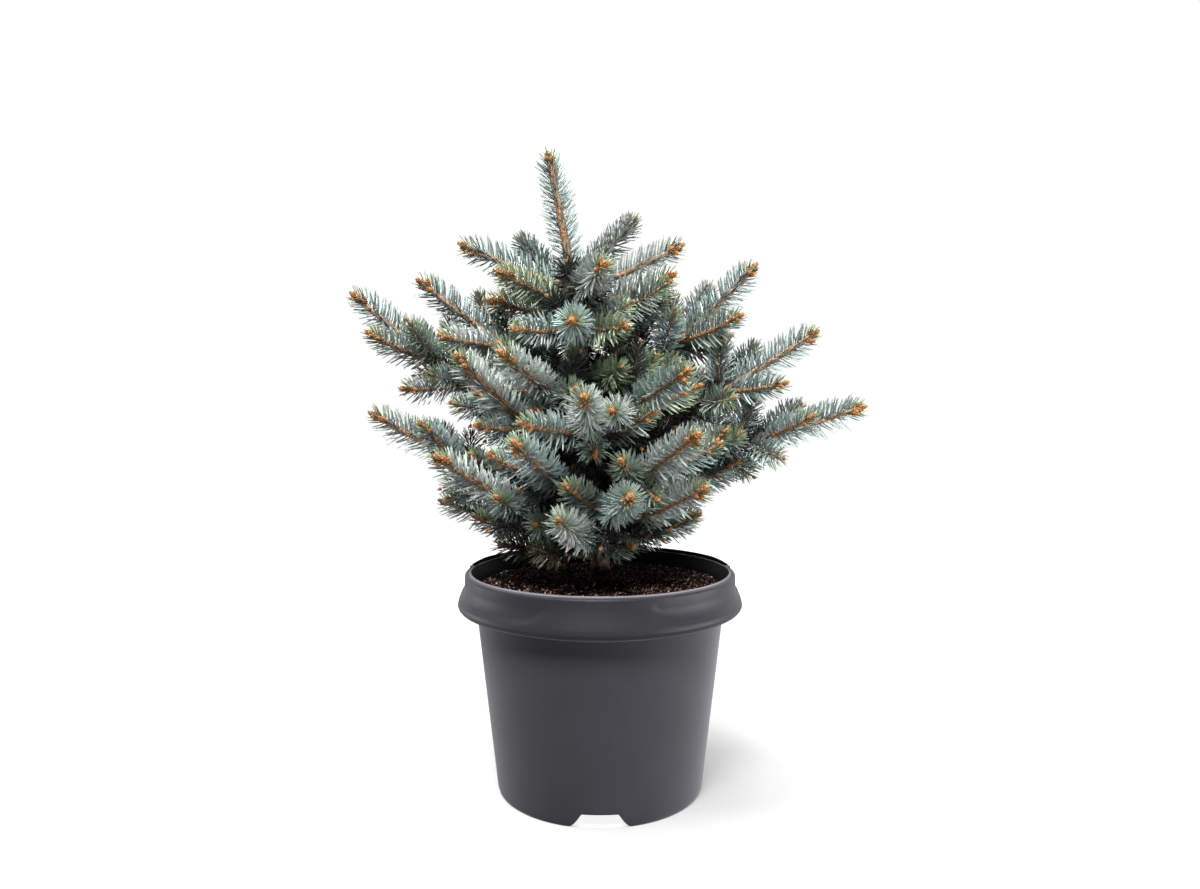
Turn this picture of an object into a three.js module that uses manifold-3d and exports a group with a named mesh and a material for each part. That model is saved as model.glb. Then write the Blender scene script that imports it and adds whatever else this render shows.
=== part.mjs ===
// A young globe blue spruce in its round nursery pot, in millimetres, +Z up.
// The origin is the centre of the pot's flat underside, on the surface that it stands on.
// +X is to the right and +Y to the back, seen from the front of the plant.
import * as THREE from "three";
import { mergeVertices } from "three/addons/utils/BufferGeometryUtils.js";
import Module from "manifold-3d";

const wasm = await Module();
wasm.setup();

// Driving dimensions of the pot
const POT_HEIGHT = 147;
const POT_SIDES = 48;
const WALL = 2;
const FOOT_RADIUS = 68;
const BODY_RADIUS_LOW = 68.7;
const BODY_FLARE = 0.114; // growth of the outer radius for each millimetre up the body
const CORNER_HEIGHT = 3.5;
const FLOOR_UNDERSIDE = 8;
const PAD_RADIUS = 24;
const PAD_STEP = 3;
const COLLAR_BOTTOM = 118;
const COLLAR_BULGE_HEIGHT = 125.5;
const COLLAR_RADIUS = 95;
const LIP_RADIUS = 90;
const LIP_INNER_RADIUS = 86;
const PANEL_DEPTH = 1.6; // recess pressed into the collar's four grip panels
const PANEL_HALF_ANGLE = 30;
const PANEL_AZIMUTHS = [-35, 35, 145, 215];
const GROOVE_RADIUS = 88.6;
const GROOVE_WIDTH = 1.8;
const GROOVE_DEPTH = 5;
const GROOVE_FROM = 15;
const GROOVE_TO = 165;
const NOTCH_AZIMUTHS = [270, 30, 150];
const NOTCH_WIDTH = 26;
const NOTCH_HEIGHT = 7;
const NOTCH_SPLAY = 5;
const DRAIN_HOLES = 6;
const DRAIN_RADIUS = 4.5;
const DRAIN_CIRCLE = 46;

// Driving dimensions of the soil and the trunk
const GAP = 0.3; // clearance between pieces that meet in the plant
const TRUNK_CLEAR = 0.38; // what is cut off around the trunk, which leaves the clearance at its flats
const SOIL_EDGE = 137;
const SOIL_TOP = 139;
const PLANT_TOP = 425;
const TRUNK_TOP = 411;
const TRUNK_LEAN = 35;
const TRUNK_BOW = 6;
const TRUNK_RADIUS_FOOT = 5.6;
const TRUNK_RADIUS_TIP = 1.5;
const ROOT_FLARE = 3.6;
const ROOT_FLARE_HEIGHT = 9;

// Driving dimensions of the limbs, shoots and needles
const TERMINAL_LENGTH = 74; // last year's shoot at the end of each bough
const LIMB_SHARE = 0.42; // part of a bough's older wood that is a bare limb
const LIMB_RADIUS_ROOT = 3.2;
const LIMB_RADIUS_END = 2.5;
const CORE_RADIUS_ROOT = 2.3;
const CORE_RADIUS_TIP = 1.7;
const BUD_RADIUS = 2.6;
const BUD_LENGTH = 7;
const RING_STEP = 14;
const NEEDLE_LENGTH = 15.5;
const NEEDLE_LENGTH_TIP = 10;
const NEEDLE_LEAN = 58; // degrees between a needle and its shoot
const NEEDLE_ROOT_RADIUS = 2.8;
const NEEDLE_EDGE_RADIUS = 0.4;
const NEEDLE_CLEARANCE = 1;
const BARE_ROOT = 9; // a side shoot has no needles this close to its parent
const SIDE_ANGLE = 44;
const SIDE_DROOP = 8; // side shoots hang this far below their bough's plane
const SIDE_LIFT_LOW = 10; // and on the low boughs they are lifted this far above it
const SIDE_SPACING = 30;
const SHOOT_CLEARANCE = 9;
const SHOOT_LIFT = 0.14; // side shoots curve upwards by this share of their length

// Each bough: height on the trunk, azimuth (0 right, 90 back), reach, rise and roll of its spray.
const TOP_SHOOTS = {
  top_right_back: [340, 31, 52, 48],
  top_right: [332, 0, 74, 33],
  top_right_low: [320, 342, 69, 23],
  top_front: [329, 286, 73, 14],
  top_left: [335, 178, 78, 31],
  top_left_back: [328, 132, 63, 50],
  top_left_front: [323, 216, 63, 20],
  top_left_low: [313, 198, 64, 13],
  top_back: [319, 82, 66, 34],
};
const UPPER_BOUGHS = {
  top_front_low: [306, 268, 92, 1, 0],
  upper_left: [265, 185, 114, 76, -28],
  upper_right: [253, 2, 113, 100, 30],
  upper_front_left: [249, 243, 113, 40, -10],
  upper_front_right: [243, 301, 112, 36, 10],
  upper_right_back: [270, 42, 84, 70, 0],
  upper_back: [259, 98, 105, 60, 0],
  upper_left_back: [251, 141, 108, 62, 0],
};
const MIDDLE_BOUGHS = {
  middle_left: [218, 180, 164, 115, -28],
  middle_right: [224, 356, 149, 83, 28],
  middle_front_left: [209, 222, 112, 80, -20],
  middle_front_right: [193, 300, 117, 50, 0],
  middle_front: [226, 268, 128, 38, 0],
  middle_right_back: [217, 45, 140, 70, 15],
  middle_back: [206, 85, 140, 64, 0],
  middle_left_back: [212, 130, 145, 74, -15],
};
const LOW_BOUGHS = {
  low_right_long: [207, 357, 180, 50, 0],
  low_left: [180, 181, 154, 73, 6],
  low_left_front: [166, 211, 119, 62, -25],
  low_front_left: [187, 247, 122, 52, 0],
  low_right: [181, 14, 127, 46, 0],
  low_front_right: [172, 306, 108, 39, 20],
  low_right_back: [174, 72, 130, 50, 10],
  low_back: [166, 106, 125, 40, 0],
  low_left_back: [171, 146, 135, 51, 0],
};
const SHORT_BOUGHS = {
  low_front: [179, 279, 118, 30, 0],
  low_front_foot: [162, 256, 100, 32, 0],
  low_right_foot: [159, 32, 84, 20, 0],
  low_left_foot: [155, 199, 74, 13, 0],
  low_left_rear: [160, 168, 116, 31, 0],
};

const up = new THREE.Vector3(0, 0, 1);
const radians = THREE.MathUtils.degToRad;
const mix = THREE.MathUtils.lerp;

function material(color, roughness) {
  return new THREE.MeshStandardMaterial({ color, roughness, metalness: 0 });
}

const FINISH = {
  plastic: material(0x46474b, 0.55),
  soil: material(0x2b201a, 1),
  bark: material(0x6b4a35, 0.9),
  needles: material(0x7d979c, 0.7),
};

// Seeded random numbers, so that the plant always grows the same way.
function makeRandom(seed) {
  let state = seed >>> 0;
  return () => {
    state = (Math.imul(state, 1664525) + 1013904223) >>> 0;
    return state / 4294967296;
  };
}

function solidOf(geometry) {
  const bare = geometry.clone();
  bare.deleteAttribute("normal");
  bare.deleteAttribute("uv");
  const merged = mergeVertices(bare, 1e-4);
  return new wasm.Manifold(
    new wasm.Mesh({
      numProp: 3,
      vertProperties: merged.attributes.position.array,
      triVerts: new Uint32Array(merged.index.array),
    }),
  );
}

function geometryOf(solid) {
  const mesh = solid.getMesh();
  const geometry = new THREE.BufferGeometry();
  geometry.setAttribute("position", new THREE.BufferAttribute(new Float32Array(mesh.vertProperties), 3));
  geometry.setIndex(new THREE.BufferAttribute(new Uint32Array(mesh.triVerts), 1));
  geometry.computeVertexNormals();
  return geometry;
}

function named(name, geometry, finish) {
  const mesh = new THREE.Mesh(geometry, finish);
  mesh.name = name;
  return mesh;
}

// A closed solid of revolution about Z from a profile of [radius, height] pairs.
function turned(profile, sides) {
  const points = profile.map(([r, z]) => new THREE.Vector2(r, z));
  return new THREE.LatheGeometry(points, sides).rotateX(Math.PI / 2);
}

function geometryFrom(points, faces) {
  const flat = points.flatMap((p) => [p.x, p.y, p.z]);
  const geometry = new THREE.BufferGeometry();
  geometry.setAttribute("position", new THREE.Float32BufferAttribute(flat, 3));
  geometry.setIndex(faces);
  return geometry;
}

// The pot

function bodyRadius(z) {
  return BODY_RADIUS_LOW + BODY_FLARE * z;
}

function innerRadius(z) {
  return Math.min(bodyRadius(z) - WALL, LIP_INNER_RADIUS - 0.12 * (POT_HEIGHT - z));
}

function potProfile() {
  const floorTop = FLOOR_UNDERSIDE + WALL;
  const pad = PAD_RADIUS;
  const collar = COLLAR_RADIUS;
  return [
    [0, 0],
    [pad, 0],
    [pad + PAD_STEP, FLOOR_UNDERSIDE],
    [FOOT_RADIUS - WALL - 3, FLOOR_UNDERSIDE],
    [FOOT_RADIUS - WALL, 0],
    [FOOT_RADIUS, 0],
    [bodyRadius(CORNER_HEIGHT), CORNER_HEIGHT],
    [bodyRadius(COLLAR_BOTTOM + 1), COLLAR_BOTTOM + 1],
    [bodyRadius(COLLAR_BOTTOM) + 3.5, COLLAR_BOTTOM],
    [collar - 3.2, COLLAR_BOTTOM + 2.2],
    [collar - 0.6, COLLAR_BULGE_HEIGHT - 3],
    [collar, COLLAR_BULGE_HEIGHT],
    [collar - 0.9, COLLAR_BULGE_HEIGHT + 5],
    [collar - 3, COLLAR_BULGE_HEIGHT + 11],
    [LIP_RADIUS + 0.4, POT_HEIGHT - 3],
    [LIP_RADIUS - 0.8, POT_HEIGHT],
    [LIP_INNER_RADIUS, POT_HEIGHT],
    [innerRadius(POT_HEIGHT - 12), POT_HEIGHT - 12],
    [innerRadius(floorTop), floorTop],
    [pad, floorTop],
    [pad - WALL, WALL],
    [0, WALL],
  ];
}

// How far the collar is pressed in at an azimuth in degrees, from 0 to 1, with soft edges.
function panelDip(azimuth) {
  const edge = 6;
  const away = Math.min(...PANEL_AZIMUTHS.map((a) => Math.abs(((azimuth - a + 540) % 360) - 180)));
  return THREE.MathUtils.smoothstep(PANEL_HALF_ANGLE - away, 0, edge);
}

function pressPanels(geometry) {
  const position = geometry.attributes.position;
  for (let i = 0; i < position.count; i++) {
    const [x, y, z] = [position.getX(i), position.getY(i), position.getZ(i)];
    const radius = Math.hypot(x, y);
    const onCollar = z > COLLAR_BULGE_HEIGHT + 2 && z < POT_HEIGHT - 1 && radius > LIP_RADIUS - 0.5;
    if (!onCollar) continue;
    const azimuth = THREE.MathUtils.radToDeg(Math.atan2(y, x));
    const scale = (radius - PANEL_DEPTH * panelDip(azimuth)) / radius;
    position.setXY(i, x * scale, y * scale);
  }
  return geometry;
}

// The block that cuts a drainage notch through the foot, wider at the ground.
function notchBlock(azimuth) {
  const half = NOTCH_WIDTH / 2;
  const outline = new THREE.Shape([
    new THREE.Vector2(-half - NOTCH_SPLAY, -1),
    new THREE.Vector2(half + NOTCH_SPLAY, -1),
    new THREE.Vector2(half + NOTCH_SPLAY * 0.7, 1.4),
    new THREE.Vector2(half, NOTCH_HEIGHT),
    new THREE.Vector2(-half, NOTCH_HEIGHT),
    new THREE.Vector2(-half - NOTCH_SPLAY * 0.7, 1.4),
  ]);
  const block = new THREE.ExtrudeGeometry(outline, { depth: 22, bevelEnabled: false });
  block.rotateX(Math.PI / 2).translate(0, -FOOT_RADIUS + 16, 0);
  return block.rotateZ(radians(azimuth - 270));
}

// The open channel in the top of the rim, round the back.
function grooveBlock() {
  const arc = new THREE.Shape();
  const [from, to] = [radians(GROOVE_FROM), radians(GROOVE_TO)];
  arc.absarc(0, 0, GROOVE_RADIUS, from, to, false);
  arc.absarc(0, 0, GROOVE_RADIUS - GROOVE_WIDTH, to, from, true);
  const block = new THREE.ExtrudeGeometry(arc, { depth: 20, bevelEnabled: false, curveSegments: 26 });
  return block.translate(0, 0, POT_HEIGHT - GROOVE_DEPTH);
}

function makePot() {
  let pot = solidOf(pressPanels(turned(potProfile(), POT_SIDES)));
  for (const azimuth of NOTCH_AZIMUTHS) pot = pot.subtract(solidOf(notchBlock(azimuth)));
  pot = pot.subtract(solidOf(grooveBlock()));
  for (let i = 0; i < DRAIN_HOLES; i++) {
    const angle = radians(NOTCH_AZIMUTHS[0] + (360 / DRAIN_HOLES) * i);
    const drill = new THREE.CylinderGeometry(DRAIN_RADIUS, DRAIN_RADIUS, 4 * WALL, 10);
    drill.rotateX(Math.PI / 2);
    drill.translate(DRAIN_CIRCLE * Math.cos(angle), DRAIN_CIRCLE * Math.sin(angle), FLOOR_UNDERSIDE + WALL / 2);
    pot = pot.subtract(solidOf(drill));
  }
  return named("pot", geometryOf(pot), FINISH.plastic);
}

function makeSoil() {
  const floor = FLOOR_UNDERSIDE + WALL + GAP;
  const seat = TRUNK_RADIUS_FOOT + ROOT_FLARE + 3;
  const profile = [
    [0, WALL + GAP],
    [PAD_RADIUS - WALL - 1, WALL + GAP],
    [PAD_RADIUS - 1, floor],
    [innerRadius(floor) - GAP * 1.5, floor],
    [innerRadius(SOIL_EDGE) - GAP * 1.5, SOIL_EDGE],
    [60, SOIL_EDGE + 1.2],
    [36, SOIL_EDGE + 0.4],
    [seat, SOIL_TOP],
    [0, SOIL_TOP],
  ];
  return named("potting_soil", turned(profile, POT_SIDES), FINISH.soil);
}

// The trunk

function trunkShare(z) {
  return THREE.MathUtils.clamp((z - SOIL_TOP) / (PLANT_TOP - SOIL_TOP), 0, 1);
}

function trunkAxis(z) {
  const t = trunkShare(z);
  return new THREE.Vector3(-TRUNK_LEAN * t ** 1.8, TRUNK_BOW * Math.sin(3 * t), z);
}

function trunkRadius(z) {
  const flare = ROOT_FLARE * Math.exp(-(z - SOIL_TOP) / ROOT_FLARE_HEIGHT);
  return mix(TRUNK_RADIUS_FOOT, TRUNK_RADIUS_TIP, trunkShare(z) ** 0.9) + flare;
}

// A tapering solid with level rings round the trunk's axis, thicker than the trunk by extra.
function trunkSolid(from, to, extra, sides = 9) {
  const heights = [0, 3, 8, 16, 30].map((h) => from + h);
  const steps = 9;
  for (let i = 1; i <= steps; i++) heights.push(mix(from + 30, to, i / steps));
  const points = [];
  const faces = [];
  heights.forEach((z, ring) => {
    const centre = trunkAxis(z);
    for (let k = 0; k < sides; k++) {
      const angle = (2 * Math.PI * k) / sides;
      const ridge = 1 + 0.16 * Math.exp(-(z - SOIL_TOP) / ROOT_FLARE_HEIGHT) * Math.cos(3 * angle);
      const r = trunkRadius(z) * ridge + extra;
      points.push(new THREE.Vector3(centre.x + r * Math.cos(angle), centre.y + r * Math.sin(angle), z));
      if (ring === 0) continue;
      const [a, b] = [(ring - 1) * sides + k, (ring - 1) * sides + ((k + 1) % sides)];
      faces.push(a, b, b + sides, a, b + sides, a + sides);
    }
  });
  const top = (heights.length - 1) * sides;
  for (let k = 1; k < sides - 1; k++) faces.push(0, k + 1, k, top, top + k, top + k + 1);
  return geometryFrom(points, faces);
}

const trunkClear = solidOf(trunkSolid(SOIL_TOP + GAP, TRUNK_TOP + 0.4, TRUNK_CLEAR));

function makeTrunk() {
  return named("trunk", trunkSolid(SOIL_TOP + GAP, TRUNK_TOP, 0), FINISH.bark);
}

// The skeleton: every shoot is a curve with a start and an end radius.

function boughCurve([height, azimuth, reach, rise]) {
  const root = trunkAxis(height);
  const angle = radians(azimuth);
  const along = new THREE.Vector3(Math.cos(angle), Math.sin(angle), 0);
  const tip = root.clone().addScaledVector(along, reach).addScaledVector(up, rise);
  const bend = root.clone().addScaledVector(along, reach * 0.52).addScaledVector(up, rise * 0.4);
  return new THREE.QuadraticBezierCurve3(root, bend, tip);
}

// A side shoot leaves its parent at an angle, turned about the parent by roll, and lifts at its end.
function sideCurve(parent, share, angle, roll, length) {
  const start = parent.getPointAt(share);
  const tangent = parent.getTangentAt(share);
  const side = new THREE.Vector3().crossVectors(up, tangent).normalize().applyAxisAngle(tangent, radians(roll));
  const along = tangent.multiplyScalar(Math.cos(radians(angle))).addScaledVector(side, Math.sin(radians(angle)));
  const bend = start.clone().addScaledVector(along, length * 0.5);
  const tip = start.clone().addScaledVector(along, length).addScaledVector(up, length * SHOOT_LIFT);
  return new THREE.QuadraticBezierCurve3(start, bend, tip);
}

// The least distance between two segments, and where it lies on each.
function closest(p0, p1, q0, q1) {
  const [u, v, w] = [p1.clone().sub(p0), q1.clone().sub(q0), p0.clone().sub(q0)];
  const [a, b, c, d, e] = [u.dot(u), u.dot(v), v.dot(v), u.dot(w), v.dot(w)];
  const cross = a * c - b * b;
  let s = cross < 1e-9 ? 0 : THREE.MathUtils.clamp((b * e - c * d) / cross, 0, 1);
  const t = THREE.MathUtils.clamp((b * s + e) / c, 0, 1);
  s = THREE.MathUtils.clamp((b * t - d) / a, 0, 1);
  return { s, t, distance: w.addScaledVector(u, s).addScaledVector(v, -t).length() };
}

function pieces(curve, from, to, count) {
  const points = [];
  for (let i = 0; i <= count; i++) points.push(curve.getPointAt(mix(from, to, i / count)));
  return points;
}

function curveDistance(points, others) {
  let least = Infinity;
  for (let i = 1; i < points.length; i++)
    for (let j = 1; j < others.length; j++)
      least = Math.min(least, closest(points[i - 1], points[i], others[j - 1], others[j]).distance);
  return least;
}

const lines = []; // centre lines of all shoots so far, which new side shoots keep clear of

function addLine(curve, from) {
  lines.push(pieces(curve, from, 1, 4));
  return lines.at(-1);
}

// Grows a bough: where its limb ends, and its side shoots, clear of all lines but its own.
function growBough(main, ownLine, roll, hasLimb, isLow, random) {
  const length = main.getLength();
  const node = Math.max(0.3, 1 - TERMINAL_LENGTH / length);
  const start = hasLimb ? node * LIMB_SHARE : 0;
  const sides = [];
  const trySide = (share, way, angle, shootLength) => {
    const curve = sideCurve(main, share, angle, way, shootLength);
    const body = pieces(curve, 12 / shootLength, 1, 3);
    const low = body.some((p) => p.z < SOIL_TOP + 14);
    const hit = lines.some((other) => other !== ownLine && curveDistance(body, other) < SHOOT_CLEARANCE);
    if (!low && !hit) {
      sides.push(curve);
      addLine(curve, 12 / shootLength);
    }
  };
  const droop = isLow ? -SIDE_LIFT_LOW : SIDE_DROOP;
  const ways = [[-droop, 0.72], [180 + droop, 0.72], [-90, 0.55]];
  for (const [way, long] of isLow ? ways.slice(0, 2) : ways) {
    const shootLength = TERMINAL_LENGTH * long * mix(0.85, 1.1, random());
    const angle = SIDE_ANGLE * mix(0.85, 1.1, random());
    trySide(node - 0.01, roll + way + mix(-12, 12, random()), angle, shootLength);
  }
  const oldWood = (node - start) * length;
  const count = Math.floor(oldWood / SIDE_SPACING);
  for (let i = 1; i <= count; i++) {
    const share = mix(node, start, (i - 0.1) / (count + 0.6));
    const way = roll + (i % 2 ? -droop : 180 + droop) + mix(-40, 40, random());
    const shootLength = TERMINAL_LENGTH * mix(0.5, 0.68, random());
    trySide(share, way, SIDE_ANGLE + 12, shootLength);
  }
  return { start, sides };
}

// Shoots with needles

const bodies = []; // tapered capsules of limbs, cores and needles, which new needles keep clear of

function capsule(a, b, ra, rb, owner, shoot) {
  const middle = a.clone().add(b).multiplyScalar(0.5);
  return { a, b, ra, rb, owner, shoot, middle, reach: a.distanceTo(b) / 2 + ra };
}

function addBodies(points, radiusA, radiusB, owner, shoot) {
  const count = points.length - 1;
  for (let i = 1; i <= count; i++) {
    const [ra, rb] = [mix(radiusA, radiusB, (i - 1) / count), mix(radiusA, radiusB, i / count)];
    bodies.push(capsule(points[i - 1], points[i], ra, rb, owner, shoot));
  }
}

// A needle is its middle line and the lines from the corners of its root to its tip.
function needleCapsules(corners, root, tip, owner, shoot) {
  const edges = corners.map((c) => capsule(c, tip, NEEDLE_EDGE_RADIUS, 0, owner, shoot));
  return [capsule(root, tip, NEEDLE_ROOT_RADIUS, 0, owner, shoot), ...edges];
}

function inPot(p) {
  const radius = Math.hypot(p.x, p.y);
  return p.z < SOIL_TOP + 3 || (radius > 78 && radius < COLLAR_RADIUS + 4 && p.z < POT_HEIGHT + 3);
}

function tooClose(one, other) {
  if (one.middle.distanceTo(other.middle) > one.reach + other.reach + NEEDLE_CLEARANCE) return false;
  const near = closest(one.a, one.b, other.a, other.b);
  const room = mix(one.ra, one.rb, near.s) + mix(other.ra, other.rb, near.t);
  return near.distance < room + NEEDLE_CLEARANCE;
}

// Whether a needle keeps clear of all that isn't its own shoot.
function needleFits(capsules, owner, shoot) {
  const others = bodies.filter((other) => other.owner !== owner || other.shoot !== shoot);
  return !others.some((other) => capsules.some((one) => tooClose(one, other)));
}

// A slim core along a curve, with needles drawn out of every other face and a bud at its end.
function needledShoot(curve, from, owner, shoot, sides, radiusRoot, random) {
  const length = curve.getLength() * (1 - from);
  const rings = Math.max(3, Math.round(length / RING_STEP));
  const points = [];
  const faces = [];
  const bare = shoot === 0 ? 0 : BARE_ROOT;
  const across = new THREE.Vector3().crossVectors(curve.getTangentAt(0.5), up);
  const ringAt = (share, radius, turn) => {
    const centre = curve.getPointAt(share);
    const tangent = curve.getTangentAt(share);
    const side = across.clone().addScaledVector(tangent, -across.dot(tangent)).normalize();
    for (let k = 0; k < sides; k++) {
      const spoke = side.clone().applyAxisAngle(tangent, (2 * Math.PI * (k + turn)) / sides);
      points.push(centre.clone().addScaledVector(spoke, radius));
    }
  };
  const budShare = BUD_LENGTH / curve.getLength();
  for (let i = 0; i <= rings; i++) {
    const share = mix(from, 1 - budShare, i / rings);
    ringAt(share, mix(radiusRoot, CORE_RADIUS_TIP, i / rings), (i % 2) / 2);
  }
  ringAt(1 - 0.55 * budShare, BUD_RADIUS, ((rings + 1) % 2) / 2);
  const tipIndex = points.length;
  points.push(curve.getPointAt(1));

  const needleOn = (face, along, axis) => {
    const root = new THREE.Vector3();
    for (const v of face) root.addScaledVector(points[v], 1 / 3);
    const out = root.clone().sub(curve.getPointAt(mix(from, 1 - budShare, along)));
    out.addScaledVector(axis, -out.dot(axis)).normalize();
    const lean = radians(NEEDLE_LEAN * mix(0.88, 1.1, random()) * (along > 0.85 ? 0.75 : 1));
    const needle = mix(NEEDLE_LENGTH, NEEDLE_LENGTH_TIP, along ** 3) * mix(0.88, 1.08, random());
    const tip = root.clone().addScaledVector(axis, needle * Math.cos(lean));
    tip.addScaledVector(out, needle * Math.sin(lean)).addScaledVector(up, needle * 0.08);
    const corners = face.map((v) => points[v]);
    const capsules = needleCapsules(corners, root, tip, owner, shoot);
    if (along * length < bare || inPot(tip) || !needleFits(capsules, owner, shoot)) {
      faces.push(...face);
      return;
    }
    bodies.push(...capsules);
    const [a, b, c] = face;
    const apex = points.push(tip) - 1;
    faces.push(a, b, apex, b, c, apex, c, a, apex);
  };
  for (let i = 0; i <= rings; i++) {
    const axis = curve.getTangentAt(mix(from, 1 - budShare, Math.min(1, (i + 0.5) / rings)));
    for (let k = 0; k < sides; k++) {
      const [a, b] = [i * sides + k, i * sides + ((k + 1) % sides)];
      const [c, d] = [a + sides, b + sides];
      const [low, high] = i % 2 ? [[a, b, d], [a, d, c]] : [[a, b, c], [b, d, c]];
      if (i === rings) faces.push(...low, ...high);
      else {
        needleOn(low, (i + 0.33) / rings, axis);
        needleOn(high, (i + 0.67) / rings, axis);
      }
    }
  }
  const last = (rings + 1) * sides;
  for (let k = 0; k < sides; k++) faces.push(last + k, last + ((k + 1) % sides), tipIndex);
  for (let k = 1; k < sides - 1; k++) faces.push(0, k + 1, k);
  return solidOf(geometryFrom(points, faces));
}

function limbSolid(curve, to) {
  const sides = 6;
  const rings = 3;
  const points = [];
  const faces = [];
  for (let i = 0; i <= rings; i++) {
    const share = mix(0, to, i / rings);
    const tangent = curve.getTangentAt(share);
    const side = new THREE.Vector3().crossVectors(tangent, up).normalize();
    for (let k = 0; k < sides; k++) {
      const spoke = side.clone().applyAxisAngle(tangent, (2 * Math.PI * k) / sides);
      const radius = mix(LIMB_RADIUS_ROOT, LIMB_RADIUS_END, i / rings);
      points.push(curve.getPointAt(share).addScaledVector(spoke, radius));
      if (i === 0) continue;
      const [a, b] = [(i - 1) * sides + k, (i - 1) * sides + ((k + 1) % sides)];
      faces.push(a, b, b + sides, a, b + sides, a + sides);
    }
  }
  const end = rings * sides;
  for (let k = 1; k < sides - 1; k++) faces.push(0, k + 1, k, end, end + k, end + k + 1);
  return solidOf(geometryFrom(points, faces)).subtract(trunkClear);
}

function biggest(solid) {
  return solid.decompose().sort((a, b) => b.volume() - a.volume())[0];
}

// The whole plant

const plant = new THREE.Group();
plant.add(makePot(), makeSoil(), makeTrunk());

const trunkLine = [];
for (let i = 0; i <= 12; i++) trunkLine.push(trunkAxis(mix(SOIL_TOP, PLANT_TOP, i / 12)));
lines.push(trunkLine);
for (let i = 1; i < trunkLine.length; i++) {
  const [a, b] = [trunkLine[i - 1], trunkLine[i]];
  bodies.push(capsule(a, b, trunkRadius(a.z) + 0.5, trunkRadius(b.z) + 0.5, "trunk", 0));
}

const random = makeRandom(487);
const grown = [];
const boughSets = [
  [TOP_SHOOTS, false, false],
  [UPPER_BOUGHS, false, false],
  [MIDDLE_BOUGHS, true, false],
  [LOW_BOUGHS, true, true],
  [SHORT_BOUGHS, false, true],
];
for (const [set, hasLimb, isLow] of boughSets) {
  for (const [name, size] of Object.entries(set)) {
    const main = boughCurve(size);
    const line = addLine(main, 0.12);
    grown.push({ name, main, line, hasLimb, isLow, roll: size[4], start: 0, sides: [] });
  }
}
for (const bough of grown.filter(({ roll }) => roll !== undefined)) {
  const { main, line, roll, hasLimb, isLow } = bough;
  Object.assign(bough, growBough(main, line, roll, hasLimb, isLow, random));
}

// The leader is the trunk's own last shoot, so its needles sit on a sleeve round the trunk.
const leader = new THREE.CatmullRomCurve3([346, 362, 378, 394, 410, PLANT_TOP].map((z) => trunkAxis(z)));

for (const { name, main, start, sides, hasLimb } of grown) {
  const limbEnd = start - GAP / main.getLength();
  if (hasLimb) {
    plant.add(named("bough_" + name, geometryOf(biggest(limbSolid(main, limbEnd))), FINISH.bark));
    addBodies(pieces(main, 0, start, 3), LIMB_RADIUS_ROOT, LIMB_RADIUS_END, "bough_" + name, 0);
  }
  addBodies(pieces(main, start, 1, 8), CORE_RADIUS_ROOT, BUD_RADIUS, name, 0);
  sides.forEach((curve, i) => addBodies(pieces(curve, 0, 1, 4), CORE_RADIUS_ROOT, BUD_RADIUS, name, i + 1));
}

const needleRandom = makeRandom(2024);
const sleeve = needledShoot(leader, 0, "trunk", 0, 6, 4.2, needleRandom).subtract(trunkClear);
plant.add(named("leader_needles", geometryOf(biggest(sleeve)), FINISH.needles));

for (const { name, main, start, sides, hasLimb } of grown) {
  let mass = needledShoot(main, start, name, 0, 3, CORE_RADIUS_ROOT, needleRandom);
  sides.forEach((curve, i) => {
    mass = mass.add(needledShoot(curve, 0, name, i + 1, 3, CORE_RADIUS_ROOT, needleRandom));
  });
  if (!hasLimb) mass = mass.subtract(trunkClear);
  plant.add(named("needles_" + name, geometryOf(biggest(mass)), FINISH.needles));
}

export default plant;
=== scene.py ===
# A young globe blue spruce in its round nursery pot, with the looks of every surface.
# Sizes are in millimetres, and MM takes them to Blender's metres. +X is right, +Y back and +Z up.
import collections
import functools
import math

import bmesh
import bpy
import numpy as np
from bpy.props import FloatProperty, FloatVectorProperty, IntProperty, PointerProperty
from bpy.types import Operator, Panel, PropertyGroup
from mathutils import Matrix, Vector, noise


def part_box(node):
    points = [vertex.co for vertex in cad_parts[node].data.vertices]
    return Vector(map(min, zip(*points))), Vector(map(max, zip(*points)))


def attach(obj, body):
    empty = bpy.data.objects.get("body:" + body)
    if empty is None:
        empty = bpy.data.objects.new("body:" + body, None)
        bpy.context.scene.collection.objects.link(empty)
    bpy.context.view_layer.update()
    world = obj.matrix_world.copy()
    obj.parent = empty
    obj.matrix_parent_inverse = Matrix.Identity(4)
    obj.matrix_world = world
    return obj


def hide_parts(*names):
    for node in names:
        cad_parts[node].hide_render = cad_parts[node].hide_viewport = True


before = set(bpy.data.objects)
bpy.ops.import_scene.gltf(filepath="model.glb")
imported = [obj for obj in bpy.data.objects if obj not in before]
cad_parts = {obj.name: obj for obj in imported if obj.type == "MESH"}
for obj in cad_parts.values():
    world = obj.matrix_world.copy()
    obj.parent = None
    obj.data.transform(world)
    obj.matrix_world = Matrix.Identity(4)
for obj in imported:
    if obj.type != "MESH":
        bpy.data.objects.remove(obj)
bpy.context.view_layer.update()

bl_info = {
    "name": "Potted Globe Spruce",
    "version": (1, 0, 0),
    "blender": (4, 5, 0),
    "location": "3D View > Sidebar > Spruce",
    "description": "Grows a young blue spruce, shoot by shoot and needle by needle, in its nursery pot",
    "category": "Add Mesh",
}

MM = 0.001
PER_SQUARE_CM = 1e4
SEEDS = {"growth": 487, "fine": 61, "tones": 230, "buds": 902, "grains": 17}


def top_of(node):
    """The height of a solid's highest point, in millimetres."""
    return round(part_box(node)[1][2] / MM, 3)


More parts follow.
